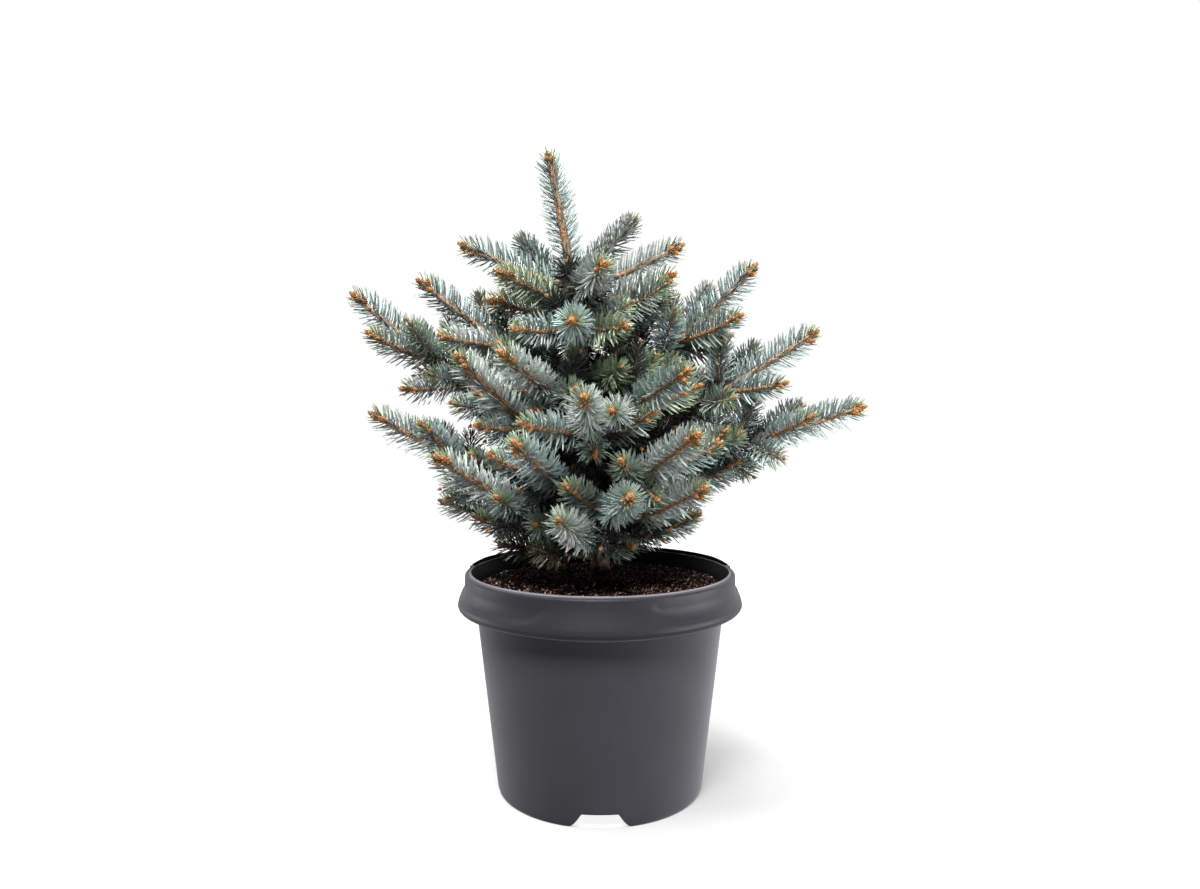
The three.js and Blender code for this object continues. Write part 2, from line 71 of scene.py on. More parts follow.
# Driving dimensions of the pot, as its solid has them
POT_HEIGHT = top_of("pot")
COLLAR_RADIUS = round(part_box("pot")[1][0] / MM, 3)
WALL = 2
FOOT_RADIUS = 68
BODY_RADIUS_LOW = 68.7
BODY_FLARE = 0.114  # growth of the outer radius for each millimetre up the body
CORNER_HEIGHT = 3.5
FLOOR_UNDERSIDE = 8
PAD_RADIUS = 24
PAD_STEP = 3
COLLAR_BOTTOM = 118
COLLAR_BULGE_HEIGHT = 125.5
LIP_RADIUS = 90
LIP_INNER_RADIUS = 86
NOTCH_AZIMUTHS = (270, 30, 150)
DRAIN_HOLES = 6
DRAIN_RADIUS = 4.5
DRAIN_CIRCLE = 46
DRAIN_SIDES = 28

# The notches, the lip's channel and the grip panels, each a little finer than the solid has it
NOTCH_WIDTH = 22.4
NOTCH_SPLAY = 8
NOTCH_REACH = 14  # the height up to which the body's rings follow the notches
FOOT_RINGS = 5  # up to that height
BODY_RINGS = 15  # from there to the collar
GROOVE_FROM = 10
GROOVE_TO = 170
PANEL_AZIMUTHS = (-34, 34, 146, 214)
PANEL_HALF_ANGLE = 36
PANEL_FOOT = 130
PANEL_CORNER = 13
PANEL_SQUEEZE = 0.7  # how much taller than wide the rounding of a panel's corner is
PANEL_SLOPE = 4
PANEL_FADE = (4, 14)  # the heights over its foot between which a panel runs out
COLLAR_RINGS = 40
KNOB_HEIGHT = 0.9  # the knob at each end of the lip's channel
KNOB_ANGLE = 1.5
BACK_WALL = (0.3, 1.4)  # the height of the channel's outer wall over the lip, at its ends and behind
BACK_WALL_ANGLE = 18

# Driving dimensions of the soil and the trunk
GAP = 0.3
SOIL_EDGE = 137
SOIL_TOP = top_of("potting_soil")
SOIL_LEVELS = ((0, SOIL_TOP), (12, SOIL_TOP), (36, 137.4), (60, 138.2))  # radius and height
SOIL_SIDES = 192
SOIL_RINGS = 72
SOIL_LUMP = 7  # the width of a lump of the soil
SOIL_MARGIN = 5  # the width of the smoother soil along the pot's wall
PLANT_TOP = top_of("leader_needles")
TRUNK_TOP = top_of("trunk")
TRUNK_LEAN = 35
TRUNK_BOW = 6
TRUNK_RADIUS_FOOT = 5.6
TRUNK_RADIUS_TIP = 1.5
ROOT_FLARE = 3.6
ROOT_FLARE_HEIGHT = 9
ROOT_LOBES = 0.16  # how far the root flare stands out in lobes, as a share of the trunk's radius
BARE_TRUNK_TOP = 175  # below this the trunk shows, and its rings stand closer
TRUNK_RINGS = (46, 150)  # below that height and above it
TRUNK_SIDES = 36
BARK_SCALE = 2.6  # the width of a scale of the bark
BARK_ANGLE = 60  # an edge of the bark that bends by more than this stays sharp

# Driving dimensions of the limbs and shoots
TERMINAL_LENGTH = 74  # last year's shoot at the end of each bough
LIMB_SHARE = 0.42  # part of a bough's older wood that is a bare limb
LIMB_RADIUS_ROOT = 3.2
LIMB_FLARE = 0.9  # how much thicker a limb is where it leaves the trunk
LIMB_FLARE_LENGTH = 5
LIMB_STEP = 1.7
LIMB_SIDES = 14
BOUGH_BEND = (0.52, 0.4)  # where a bough bends, by the shares of its reach and of its rise
OLD_WOOD_RADIUS = 1.9
SIDE_ANGLE = 44
SIDE_DROOP = 8
SIDE_LIFT_LOW = 10
SIDE_SPACING = 30
SIDE_LENGTHS = (0.72, 0.72, 0.55)  # of the shoots round an end shoot's foot, as shares of its own
SIDE_UNEVEN = (0.85, 1.1)
SIDE_ROLL = 12  # the most that they are turned off their places round the bough, in degrees
REAR_ANGLE = 56  # of the shoots further back, which are shorter and turned at random further
REAR_LENGTH = (0.5, 0.68)
REAR_ROLL = 40
SHOOT_CLEARANCE = 9
SHOOT_LIFT = 0.14
# The shares of their length at which the needles of top shoots, side shoots and inner shoots start
TOP_START = 0.06
SIDE_START = 0.04
INNER_START = 0.12
SHOOT_FREE = 12  # a new shoot keeps clear of the others from this far out
SHOOT_HEIGHT = 14  # the least height of a shoot over the soil
SHOOT_TURN = 137.5  # degrees round the wood from each finer shoot to the next

# Finer twigs, which only the dressed plant has
FINE_SPACING = 6.5
FINE_CLEARANCE = 4.6
FINE_LENGTH = (24, 46)
FINE_ANGLE = (46, 66)
FINE_ROLL = 25
FINE_FIRST = 16  # where along a bough the fine shoots start
INNER_HEIGHTS = (152, 336)
INNER_SPACING = 2.6
INNER_LENGTH = (34, 82)
INNER_REACH = 0.86  # an inner shoot's reach and rise, as shares of its length
INNER_RISE = (0.2, 0.6)
STEM_RADII = {"leader": (3.1, 2), "end": (2.1, 1.6), "side": (2.1, 1.6), "fine": (1.0, 0.7)}
STEM_STEPS = 10
YOUNG_SIDES = 8
FINE_SIDES = 5
PEG_RELIEF = 1.2  # how rough the pegs make a twig
PEGS_PER_METRE = 520.0

# The needles: a needle's sections, by the shares of its length and half width, and how needles stand
NEEDLE_SECTIONS = ((0, 0.6), (0.42, 1.0), (0.86, 0.78))
NEEDLE_BEND = 0.13  # how far a needle's tip bends forwards, as part of its length
NEEDLE_TURN = math.radians(137.508)  # round the shoot, from each needle to the next
NEEDLE_STRAY = 0.3  # the most that a needle is off that turn, in radians
LEAN_STRAY = 0.2
NEEDLE_LIFT = 0.12
NEEDLE_SIZES = (0.84, 1.06)
NEEDLE_ROOT = 1.1  # how far from the shoot's middle line a needle starts
PARTING_EDGE = 0.78  # the cosine of the angle from the open side within which needles part
PARTING_LEAN = 0.4  # how much flatter they lie there
PARTING_KEPT = 0.22  # the share of them that grows there at all
RIM_CLEARANCE = 9
SOIL_CLEARANCE = 1.5
BARE_STEM = {"end": 3, "side": 5, "fine": 3}  # the bare length before a shoot's first needles
BODY_SIZES = (0.86, 1, 1, 1, 0.9)  # of the needles up to the tuft at the shoot's end
TUFT_SIZES = (0.8, 0.62)
TUFT_LENGTH = 7  # the greener needles round the buds at a shoot's end
TUFT_START = 0.85  # from 0 at a shoot's foot to 1 at its tip, by which the needles' lean changes
TUFT_END = 6.5  # how far short of the shoot's tip its last needles stand
OLD_START = 14  # how far from the trunk's middle the needles on older wood start
OLD_SIZES = (0.8, 0.98)
OLD_END = 0.3  # the end of the older wood by the same measure

# The buds: a bud's sections, by their place along it and their radius, as shares of its length
BUD_SECTIONS = ((0, 0.22), (0.18, 0.42), (0.22, 0.31), (0.42, 0.41), (0.46, 0.27), (0.66, 0.33),
                (0.7, 0.18), (0.86, 0.2))
BUD_SIDES = 6
BUD_ROOT = 1.1  # how far from the shoot's middle line a lesser bud starts
# The buds round an end bud: the angle at which they spread from it, and their size as a share of its
BUD_SPREAD = (24, 44)
LEADER_BUD_SPREAD = (48, 68)
ROUND_SIZE = (0.55, 0.85)
# The buds close behind it: how far behind, how far round from the open side, and their size
WHORL_BEHIND = (9, 14)
WHORL_ROLL = 75
WHORL_SIZE = 0.8
# The small buds along the shoot
ALONG_ROLL = 110
ALONG_SIZE = 0.42
# Size of the end bud, and the lesser buds round it, close behind it and along the shoot
Buds = collections.namedtuple("Buds", "size round_end behind along")
BUD_COUNTS = {
    "leader": Buds(1.0, 4, 1, 5),
    "end": Buds(1.0, 3, 2, 2),
    "side": Buds(0.8, 2, 1, 0),
    "low": Buds(0.75, 1, 0, 1),
    "fine": Buds(0.5, 0, 0, 0),
}
LOW_TIP = 205  # shoots that end below this height have the fewer buds

# Each bough: height on the trunk, azimuth (0 right, 90 back), reach and rise. But for the top shoots,
# the roll of its spray is the last number.
TOP_SHOOTS = {
    "top_right_back": (340, 31, 52, 48),
    "top_right": (332, 0, 74, 33),
    "top_right_low": (320, 342, 69, 23),
    "top_front": (329, 286, 73, 14),
    "top_left": (335, 178, 78, 31),
    "top_left_back": (328, 132, 63, 50),
    "top_left_front": (323, 216, 63, 20),
    "top_left_low": (313, 198, 64, 13),
    "top_back": (319, 82, 66, 34),
}
UPPER_BOUGHS = {
    "top_front_low": (306, 268, 92, 1, 0),
    "upper_left": (265, 185, 114, 76, -28),
    "upper_right": (253, 2, 113, 100, 30),
    "upper_front_left": (249, 243, 113, 40, -10),
    "upper_front_right": (243, 301, 112, 36, 10),
    "upper_right_back": (270, 42, 84, 70, 0),
    "upper_back": (259, 98, 105, 60, 0),
    "upper_left_back": (251, 141, 108, 62, 0),
}
MIDDLE_BOUGHS = {
    "middle_left": (218, 180, 164, 115, -28),
    "middle_right": (224, 356, 149, 83, 28),
    "middle_front_left": (209, 222, 112, 80, -20),
    "middle_front_right": (193, 300, 117, 50, 0),
    "middle_front": (226, 268, 128, 38, 0),
    "middle_right_back": (217, 45, 140, 70, 15),
    "middle_back": (206, 85, 140, 64, 0),
    "middle_left_back": (212, 130, 145, 74, -15),
}
LOW_BOUGHS = {
    "low_right_long": (207, 357, 180, 50, 0),
    "low_left": (180, 181, 154, 73, 6),
    "low_left_front": (166, 211, 119, 62, -25),
    "low_front_left": (187, 247, 122, 52, 0),
    "low_right": (181, 14, 127, 46, 0),
    "low_front_right": (172, 306, 108, 39, 20),
    "low_right_back": (174, 72, 130, 50, 10),
    "low_back": (166, 106, 125, 40, 0),
    "low_left_back": (171, 146, 135, 51, 0),
}
SHORT_BOUGHS = {
    "low_front": (179, 279, 118, 30, 0),
    "low_front_foot": (162, 256, 100, 32, 0),
    "low_right_foot": (159, 32, 84, 20, 0),
    "low_left_foot": (155, 199, 74, 13, 0),
    "low_left_rear": (160, 168, 116, 31, 0),
}
# Each set of boughs, whether they have bare limbs, and whether they are low ones
BOUGH_SETS = (
    (TOP_SHOOTS, False, False),
    (UPPER_BOUGHS, False, False),
    (MIDDLE_BOUGHS, True, False),
    (LOW_BOUGHS, True, True),
    (SHORT_BOUGHS, False, True),
)
# Places, as x and z, round which the shoots are a fresher yellow-green
FRESH_PLACES = ((-75, 345), (-88, 318), (13, 300), (55, 283))
FRESH_REACH = 20
FRESH_SHARE = 0.55
FRONT_DEPTH = 20  # how far back the crown's front side reaches
OLD_BOUGHS = ("low_left_foot",)  # their needles are dull ones, and they have no buds
# Fine shoots that end close to the trunk take the painted shade colour, by a radius that narrows between
# two heights. So do those that hang under their bough, but for the ones far in front and far to the
# sides.
HEART_RADIUS = 92
HEART_HEIGHTS = (220, 340)
HEART_NARROWS_TO = 0.55
HANGING_RISE = 4
HANGING_FRONT = -60
HANGING_SIDE = 80
# The tones of each kind of shoot, each with the share of shoots up to which it goes
TONE_SHARES = {
    "end": (("silver", 0.55), ("blue", 1)),
    "side": (("blue", 0.4), ("silver", 0.62), ("green", 1)),
    "fine": (("green", 0.6), ("blue", 1)),
}
WIDER_SPACING = {"old": 1.3, "shade": 1.4}
HALVED_TONES = ("blue", "shade", "silver")  # so many needles that they are two pieces each
# Gaps where the sky shows through the crown, as x, z, half width and half height in the trunk's plane,
# and the place that they are seen from
SKY_GAPS = ((-57, 219, 19, 6), (-112, 247, 13, 10))
CAMERA_DISTANCE = 615.0
CAMERA_HEIGHT = 263.0
VIEW_POINT = np.array([0, -CAMERA_DISTANCE, CAMERA_HEIGHT])

# The stage, in metres but for the floor's radius and drop. Each light has its place, width, height,
# watts and the point that it faces.
LIGHTS = {
    "top": ((-0.15, 0.1, 1.9), 1.2, 1.2, 72, (0, 0, 0)),
    "key": ((-0.15, -1.05, 1.5), 0.6, 0.5, 52, (0, 0, 0.15)),
    "left_side": ((-1.4, 0.3, 0.08), 0.8, 0.14, 6, (0, 0, 0.1)),
    "right_side": ((1.2, -0.35, 0.08), 1.2, 0.14, 17, (0, 0, 0.1)),
}
FLOOR_RADIUS = 1100
FLOOR_SIDES = 96
FLOOR_DROP = 0.1
SHADOW_PLACE = (0.085, 0.01, 0)  # the middle of the soft shadow on the floor

# Settings that a user would change


def size(name, description, default):
    """A length property, given in millimetres."""
    return FloatProperty(name=name, description=description, default=default * MM, unit="LENGTH")


def linear(code):
    """A scene colour from the six hexadecimal digits of a screen colour."""
    parts = [int(code[i : i + 2], 16) / 255 for i in (0, 2, 4)]
    return tuple(p / 12.92 if p <= 0.04045 else ((p + 0.055) / 1.055) ** 2.4 for p in parts)


def colour(name, description, code):
    """A colour property, given as a screen colour."""
    return FloatVectorProperty(name=name, description=description, default=linear(code), subtype="COLOR",
                               size=3, min=0, max=1)


class PotSettings(PropertyGroup):
    """The nursery pot"""

    plastic: colour("Plastic", "Colour of the moulded plastic", "36363b")
    # Painted highlight along the top of the lip
    lip_highlight: colour("Lip Highlight", "Colour of the rubbed edge of the lip", "716e75")
    # Painted sheen: the colour the plastic turns where the eye glances along it
    painted_sheen: colour("Glancing Sheen", "Colour of the plastic where the eye glances along it", "929298")
    panel_depth: size("Grip Depth", "How far the four grip panels are pressed into the collar", 1.4)
    notch_height: size("Notch Height", "Height of the drainage notches in the foot", 9)
    groove_depth: size("Groove Depth", "Depth of the channel in the top of the rim", 5)
    sides: IntProperty(name="Sides", description="Steps round the pot", default=480, min=96)


class SoilSettings(PropertyGroup):
    """The potting soil"""

    earth: colour("Earth", "Colour of the damp peat", "140b08")
    chips: colour("Chips", "Colour of the bark chips", "845f4c")
    specks: colour("Specks", "Colour of the pale grains", "d2c0b1")
    relief: size("Relief", "Height of the lumps in the surface", 1.1)
    crumb: size("Crumb", "Width of a large crumb", 2.9)


class WoodSettings(PropertyGroup):
    """Trunk, boughs and twigs"""

    old_bark: colour("Old Bark", "Colour of the trunk and the older wood", "5a4232")
    young_bark: colour("Young Bark", "Colour of last year's shoots", "8e6c4e")
    # Partly the inner twigs' own darker bark, partly painted shade
    fine_bark: colour("Shaded Fine Bark", "Colour of the fine inner twigs", "47382b")
    relief: size("Bark Relief", "Height of the scales of the bark", 0.45)
    twig_step: size("Twig Step", "Distance between the rings of a young twig", 1.1)


class NeedleSettings(PropertyGroup):
    """The needles"""

    length: size("Length", "Length of a full needle", 13.8)
    width: size("Width", "Width of a needle at its middle", 1.2)
    spacing: size("Spacing", "Distance between needles along a shoot", 0.23)
    lean: FloatProperty(name="Lean", description="Angle between a needle and its shoot",
                        default=math.radians(71), subtype="ANGLE")
    tip_lean: FloatProperty(name="Tip Lean", description="The same angle at the end of a shoot",
                            default=math.radians(38), subtype="ANGLE")
    parting: FloatProperty(name="Parting", description="How far the needles sweep away from one side",
                           default=0.34, min=0, max=0.9)
    silver: colour("Silver", "The palest sprays", "949d97")
    blue: colour("Blue", "The blue-grey sprays", "798884")
    green: colour("Green", "The grey-green sprays", "68756a")
    fresh: colour("Fresh", "The yellow-green sprays", "7b8870")
    tip: colour("Tip", "The tufts round the end buds", "748164")
    # Painted shade: the colour of the inner sprays, darkened for the shade they stand in
    shade: colour("Shade", "The inner sprays", "1f2a25")
    # The older needles' own darker colour, darkened further as painted shade deep in the crown
    old: colour("Old", "Needles on the older wood", "22281c")
    dull: colour("Dull", "The short old bough over the rim", "46462f")


class BudSettings(PropertyGroup):
    """The winter buds"""

    scales: colour("Scales", "Colour of the papery scales", "8f6232")
    length: size("Length", "Length of an end bud", 6.2)


class StageSettings(PropertyGroup):
    """Floor, light and camera"""

    floor: colour("Floor", "Colour of the floor", "909090")
    bounce: colour("Bounce", "Colour of the floor as the plant and the pot see it", "7c7c7c")
    distance: size("Camera Distance", "From the pot's axis to the camera", CAMERA_DISTANCE)
    height: size("Camera Height", "Height of the camera", CAMERA_HEIGHT)
    pitch: FloatProperty(name="Pitch", description="How far the camera looks down",
                         default=math.radians(3), subtype="ANGLE")
    lens: FloatProperty(name="Lens", description="Focal length in millimetres on a 36 mm frame",
                        default=27.6, unit="CAMERA")


class SpruceSettings(PropertyGroup):
    """All settings of the potted spruce"""

    pot: PointerProperty(type=PotSettings)
    soil: PointerProperty(type=SoilSettings)
    wood: PointerProperty(type=WoodSettings)
    needles: PointerProperty(type=NeedleSettings)
    buds: PointerProperty(type=BudSettings)
    stage: PointerProperty(type=StageSettings)


# Meshes and node trees


def mix(a, b, share):
    """The value that lies at a share of the way from a to b."""
    return a + (b - a) * share


def smoothstep(value, low, high):
    """Rises smoothly from 0 at low to 1 at high."""
    share = np.clip((value - low) / (high - low), 0, 1)
    return share * share * (3 - 2 * share)


def linked(name, data):
    """A new object in the scene, at the origin."""
    made = bpy.data.objects.new(name, data)
    bpy.context.scene.collection.objects.link(made)
    return made


def new_object(name, points, edges=(), faces=(), material=None):
    """A mesh object at the origin, from points in millimetres."""
    mesh = bpy.data.meshes.new(name)
    mesh.from_pydata((np.asarray(points) * MM).tolist(), edges, faces)
    mesh.update()
    if material:
        mesh.materials.append(material)
    return linked(name, mesh)


def discard(obj):
    """Removes a helper object with its mesh."""
    mesh = obj.data
    bpy.data.objects.remove(obj)
    bpy.data.meshes.remove(mesh)


def evaluated(obj, name):
    """Turns an object and its modifiers into a new plain mesh object, and discards the first."""
    depsgraph = bpy.context.evaluated_depsgraph_get()
    mesh = bpy.data.meshes.new_from_object(obj.evaluated_get(depsgraph))
    obj.modifiers.clear()
    discard(obj)
    mesh.name = name
    return linked(name, mesh)


def mark(obj, name, values, kind="FLOAT", domain="POINT"):
    """Gives a mesh an attribute, with a number or a vector for each of its points or faces."""
    field = "vector" if kind == "FLOAT_VECTOR" else "value"
    obj.data.attributes.new(name, kind, domain).data.foreach_set(field, values)


def freed(shape):
    """The points and faces of a shape under construction, which is then freed."""
    shape.verts.ensure_lookup_table()
    points = [np.array(v.co) for v in shape.verts]
    faces = [[v.index for v in f.verts] for f in shape.faces]
    shape.free()
    return points, faces


def finished(piece, slot, *nodes, smooth_angle=None):
    """Shades a finished piece and says what it is a part of."""
    if smooth_angle:
        piece.data.shade_smooth()
        piece.data.set_sharp_from_angle(angle=math.radians(smooth_angle))
    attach(piece, "root")
    if nodes:
        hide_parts(*nodes)


def ring_faces(rings, sides):
    """Quads between rings of points, for rings that close round and run outwards and up."""
    faces = []
    for ring in range(rings - 1):
        for k in range(sides):
            a, b = ring * sides + k, ring * sides + (k + 1) % sides
            faces.append((a, b, b + sides, a + sides))
    return faces


def add_node(tree, kind, inputs=None, **settings):
    """Adds a node, sets its options, and gives each named or numbered input a value or a link."""
    made = tree.nodes.new(kind)
    for key, value in settings.items():
        setattr(made, key, value)
    for key, value in (inputs or {}).items():
        if isinstance(value, bpy.types.NodeSocket):
            tree.links.new(value, made.inputs[key])
        else:
            made.inputs[key].default_value = value
    return made


def output(tree, kind, name=0):
    """One output of a new node that has no inputs."""
    return tree.nodes.new(kind).outputs[name]


def arithmetic(tree, operation, *values):
    """A sum, product or other number from numbers or sockets."""
    return add_node(tree, "ShaderNodeMath", dict(enumerate(values)), operation=operation).outputs[0]


def chained(tree, operation, *values):
    """The sum, the product or the greatest of many numbers or sockets."""
    return functools.reduce(functools.partial(arithmetic, tree, operation), values)


def ranged(tree, value, low, high, start=0, end=1, **options):
    """A number that goes from low to high as a value goes from start to end."""
    inputs = {"Value": value, "From Min": start, "From Max": end, "To Min": low, "To Max": high}
    return add_node(tree, "ShaderNodeMapRange", inputs, **options).outputs[0]


def vectors(tree, operation, *values):
    """A vector, length or dot product from vectors or sockets; a scale takes its number last."""
    if operation == "SCALE":
        inputs = {0: values[0], "Scale": values[1]}
    else:
        inputs = dict(enumerate(values))
    result = "Value" if operation in ("LENGTH", "DOT_PRODUCT") else "Vector"
    return add_node(tree, "ShaderNodeVectorMath", inputs, operation=operation).outputs[result]


def parts_of(tree, vector):
    """The separate X, Y and Z of a vector."""
    return add_node(tree, "ShaderNodeSeparateXYZ", {0: vector}).outputs


def combined(tree, **parts):
    """A vector from its X, Y and Z, each 0 where it isn't given."""
    return add_node(tree, "ShaderNodeCombineXYZ", parts).outputs[0]


def axis_distance(tree, parts):
    """How far a place is from the pot's axis, from the place's separate parts."""
    return vectors(tree, "LENGTH", combined(tree, X=parts["X"], Y=parts["Y"]))


def carried(tree, name, kind="FLOAT"):
    """The number or vector of this name that each point of a tree's source carries."""
    made = add_node(tree, "GeometryNodeInputNamedAttribute", {"Name": name}, data_type=kind)
    return made.outputs["Attribute"]


def drawn(tree, seed, low=0.0, high=1.0, shift=0.0):
    """A number between two, drawn anew for each point, by the tree's seed shifted by a fixed amount."""
    seed = arithmetic(tree, "ADD", seed, shift) if shift else seed
    return add_node(tree, "FunctionNodeRandomValue", {2: low, 3: high, "Seed": seed}).outputs[1]


def standing(tree, heading):
    """The rotation that stands a thing up along a heading."""
    made = add_node(tree, "FunctionNodeAlignRotationToVector", {"Vector": heading}, axis="Z")
    return made.outputs[0]


def placed(tree, points, thing, rotation, scale, selection=True):
    """Instances of a given object on points."""
    shape = add_node(tree, "GeometryNodeObjectInfo", {"Object": thing}).outputs["Geometry"]
    inputs = {"Points": points, "Instance": shape, "Rotation": rotation, "Scale": scale,
              "Selection": selection}
    return add_node(tree, "GeometryNodeInstanceOnPoints", inputs).outputs["Instances"]


def geometry_tree(name, **inputs):
    """An empty geometry tree with named inputs of the kinds that are given, and its two ends."""
    tree = bpy.data.node_groups.new(name, "GeometryNodeTree")
    tree.interface.new_socket("Geometry", in_out="INPUT", socket_type="NodeSocketGeometry")
    for label, kind in inputs.items():
        label = label.replace("_", " ")
        tree.interface.new_socket(label, in_out="INPUT", socket_type="NodeSocket" + kind)
    tree.interface.new_socket("Geometry", in_out="OUTPUT", socket_type="NodeSocketGeometry")
    return tree, tree.nodes.new("NodeGroupInput").outputs, tree.nodes.new("NodeGroupOutput").inputs


def close_tree(tree, given, result, instances):
    """Ends a tree: its instances become real, and take the material that is given."""
    real = add_node(tree, "GeometryNodeRealizeInstances", {"Geometry": instances})
    painted = add_node(tree, "GeometryNodeSetMaterial",
                       {"Geometry": real.outputs["Geometry"], "Material": given["Material"]})
    tree.links.new(painted.outputs["Geometry"], result["Geometry"])
    return tree


def grown(source, tree, name, **values):
    """Runs a geometry tree on a source object, and returns its result as a plain mesh object."""
    modifier = source.modifiers.new(tree.name, "NODES")
    modifier.node_group = tree
    for socket in tree.interface.items_tree:
        key = socket.name.replace(" ", "_")
        if socket.in_out == "INPUT" and key in values:
            modifier[socket.identifier] = values[key]
    return evaluated(source, name)


# Materials


@functools.cache
def mottle():
    """A shader group that puts out a soft uneven mask and a height, from a noise of a given size."""
    group = bpy.data.node_groups.new("Mottle", "ShaderNodeTree")
    for label in ("Size", "Detail", "Low", "High"):
        group.interface.new_socket(label, in_out="INPUT", socket_type="NodeSocketFloat")
    for label in ("Mask", "Height"):
        group.interface.new_socket(label, in_out="OUTPUT", socket_type="NodeSocketFloat")
    given = group.nodes.new("NodeGroupInput").outputs
    place = output(group, "ShaderNodeTexCoord", "Object")
    scale = arithmetic(group, "DIVIDE", 1.0, given["Size"])
    cloud = add_node(group, "ShaderNodeTexNoise",
                     {"Vector": place, "Scale": scale, "Detail": given["Detail"], "Roughness": 0.6})
    mask = ranged(group, cloud.outputs[0], 0, 1, given["Low"], given["High"])
    add_node(group, "NodeGroupOutput", {"Mask": mask, "Height": cloud.outputs[0]})
    return group


def mottled(tree, mottle_size, low=0.35, high=0.65, detail=4):
    """Places the uneven mask in a material."""
    inputs = {"Size": mottle_size * MM, "Low": low, "High": high, "Detail": detail}
    return add_node(tree, "ShaderNodeGroup", inputs, node_tree=mottle()).outputs


def blended(tree, factor, first, second):
    """A colour between two, each a colour or a socket."""
    first, second = [c if isinstance(c, bpy.types.NodeSocket) else (*c, 1) for c in (first, second)]
    # The node's sockets for colours have the numbers 6 and 7, and 2 for the result
    made = add_node(tree, "ShaderNodeMix", {0: factor, 6: first, 7: second}, data_type="RGBA")
    return made.outputs[2]


def marked(tree, name):
    """The number of this name that a piece's points or faces carry, for its material."""
    return add_node(tree, "ShaderNodeAttribute", attribute_name=name).outputs["Fac"]


def weighed(tree, first, share, second):
    """A share of the first of two masks and the rest of the second."""
    return arithmetic(tree, "ADD", arithmetic(tree, "MULTIPLY", first, share),
                      arithmetic(tree, "MULTIPLY", second, round(1 - share, 3)))


def bumped(tree, height, distance):
    """A normal from a height, with the bump's depth in millimetres."""
    inputs = {"Height": height, "Distance": distance * MM, "Strength": 0.6}
    return add_node(tree, "ShaderNodeBump", inputs).outputs["Normal"]


def new_material(name, **inputs):
    """A material with one Principled shader; the shader's constants are given by name."""
    material = bpy.data.materials.new(name)
    material.use_nodes = True
    tree = material.node_tree
    shader = tree.nodes["Principled BSDF"]
    for key, value in inputs.items():
        shader.inputs[key.replace("_", " ")].default_value = value
    return material, tree, shader.inputs


def shaded(plain, factor):
    """A colour made darker or lighter by a factor."""
    return tuple(min(1, part * factor) for part in plain)


def pot_plastic(settings):
    """Moulded grey plastic, satin and a little cloudy, with a painted sheen where the eye glances along
    it, painted shade on the collar and inside, and a painted highlight along the top of the lip.
    """
    material, tree, shader = new_material("pot_plastic", Specular_IOR_Level=0.15)
    cloud = mottled(tree, 38, 0.3, 0.7)
    fine = mottled(tree, 0.9, detail=2)
    plain = settings.plastic
    parts = parts_of(tree, output(tree, "ShaderNodeTexCoord", "Object"))
    radius = axis_distance(tree, parts)
    mixed = blended(tree, cloud["Mask"], shaded(plain, 0.94), shaded(plain, 1.07))
    # Painted sheen: paler where the eye glances along the plastic
    glancing = add_node(tree, "ShaderNodeLayerWeight", {"Blend": 0.5}).outputs["Facing"]
    mixed = blended(tree, arithmetic(tree, "POWER", glancing, 3.0), mixed, settings.painted_sheen)
    # Painted shade over the collar, and a painted highlight along the top of the lip
    collar_shade = ranged(tree, parts["Z"], 0, 0.55, (COLLAR_BOTTOM + 3) * MM, (COLLAR_BOTTOM + 4) * MM)
    mixed = blended(tree, collar_shade, mixed, shaded(plain, 0.2))
    highlighted = ranged(tree, parts["Z"], 0, 1, (POT_HEIGHT - 1.1) * MM, (POT_HEIGHT - 0.6) * MM)
    mixed = blended(tree, highlighted, mixed, settings.lip_highlight)
    # Painted shade: nearly black on the inner wall, under the lip and in the lip's channel
    outside = arithmetic(tree, "MULTIPLY_ADD", parts["Z"], BODY_FLARE, BODY_RADIUS_LOW * MM)
    inside = ranged(tree, arithmetic(tree, "SUBTRACT", outside, radius), 0, 1, 0.9 * MM, 1.7 * MM)
    channel_end = LIP_RADIUS * math.sin(math.radians(GROOVE_FROM + 0.5))
    in_channel = chained(tree, "MULTIPLY",
                         arithmetic(tree, "GREATER_THAN", radius, (LIP_INNER_RADIUS + 0.85) * MM),
                         arithmetic(tree, "LESS_THAN", radius, (LIP_RADIUS + 0.05) * MM),
                         arithmetic(tree, "GREATER_THAN", parts["Y"], channel_end * MM))
    under_lip = chained(tree, "MULTIPLY",
                        arithmetic(tree, "LESS_THAN", radius, LIP_INNER_RADIUS * MM),
                        arithmetic(tree, "GREATER_THAN", parts["Z"], (COLLAR_BOTTOM + 5) * MM))
    dark = chained(tree, "MAXIMUM", inside, under_lip, in_channel)
    tree.links.new(blended(tree, dark, mixed, shaded(plain, 0.12)), shader["Base Color"])
    tree.links.new(ranged(tree, cloud["Mask"], 0.42, 0.5), shader["Roughness"])
    tree.links.new(bumped(tree, fine["Height"], 0.03), shader["Normal"])
    return material


def grainy(name, plain, depths, mottle_size, roughness, bump, low=0.35, high=0.65, **inputs):
    """A dull natural surface, mottled between a darker and a lighter shade, with a rough grain."""
    material, tree, shader = new_material(name, **inputs)
    patches = mottled(tree, mottle_size, low, high)
    fine = mottled(tree, mottle_size / 3, detail=3)
    shades = [shaded(plain, depth) for depth in depths]
    tree.links.new(blended(tree, patches["Mask"], *shades), shader["Base Color"])
    tree.links.new(ranged(tree, fine["Mask"], *roughness), shader["Roughness"])
    tree.links.new(bumped(tree, fine["Height"], bump), shader["Normal"])
    return material


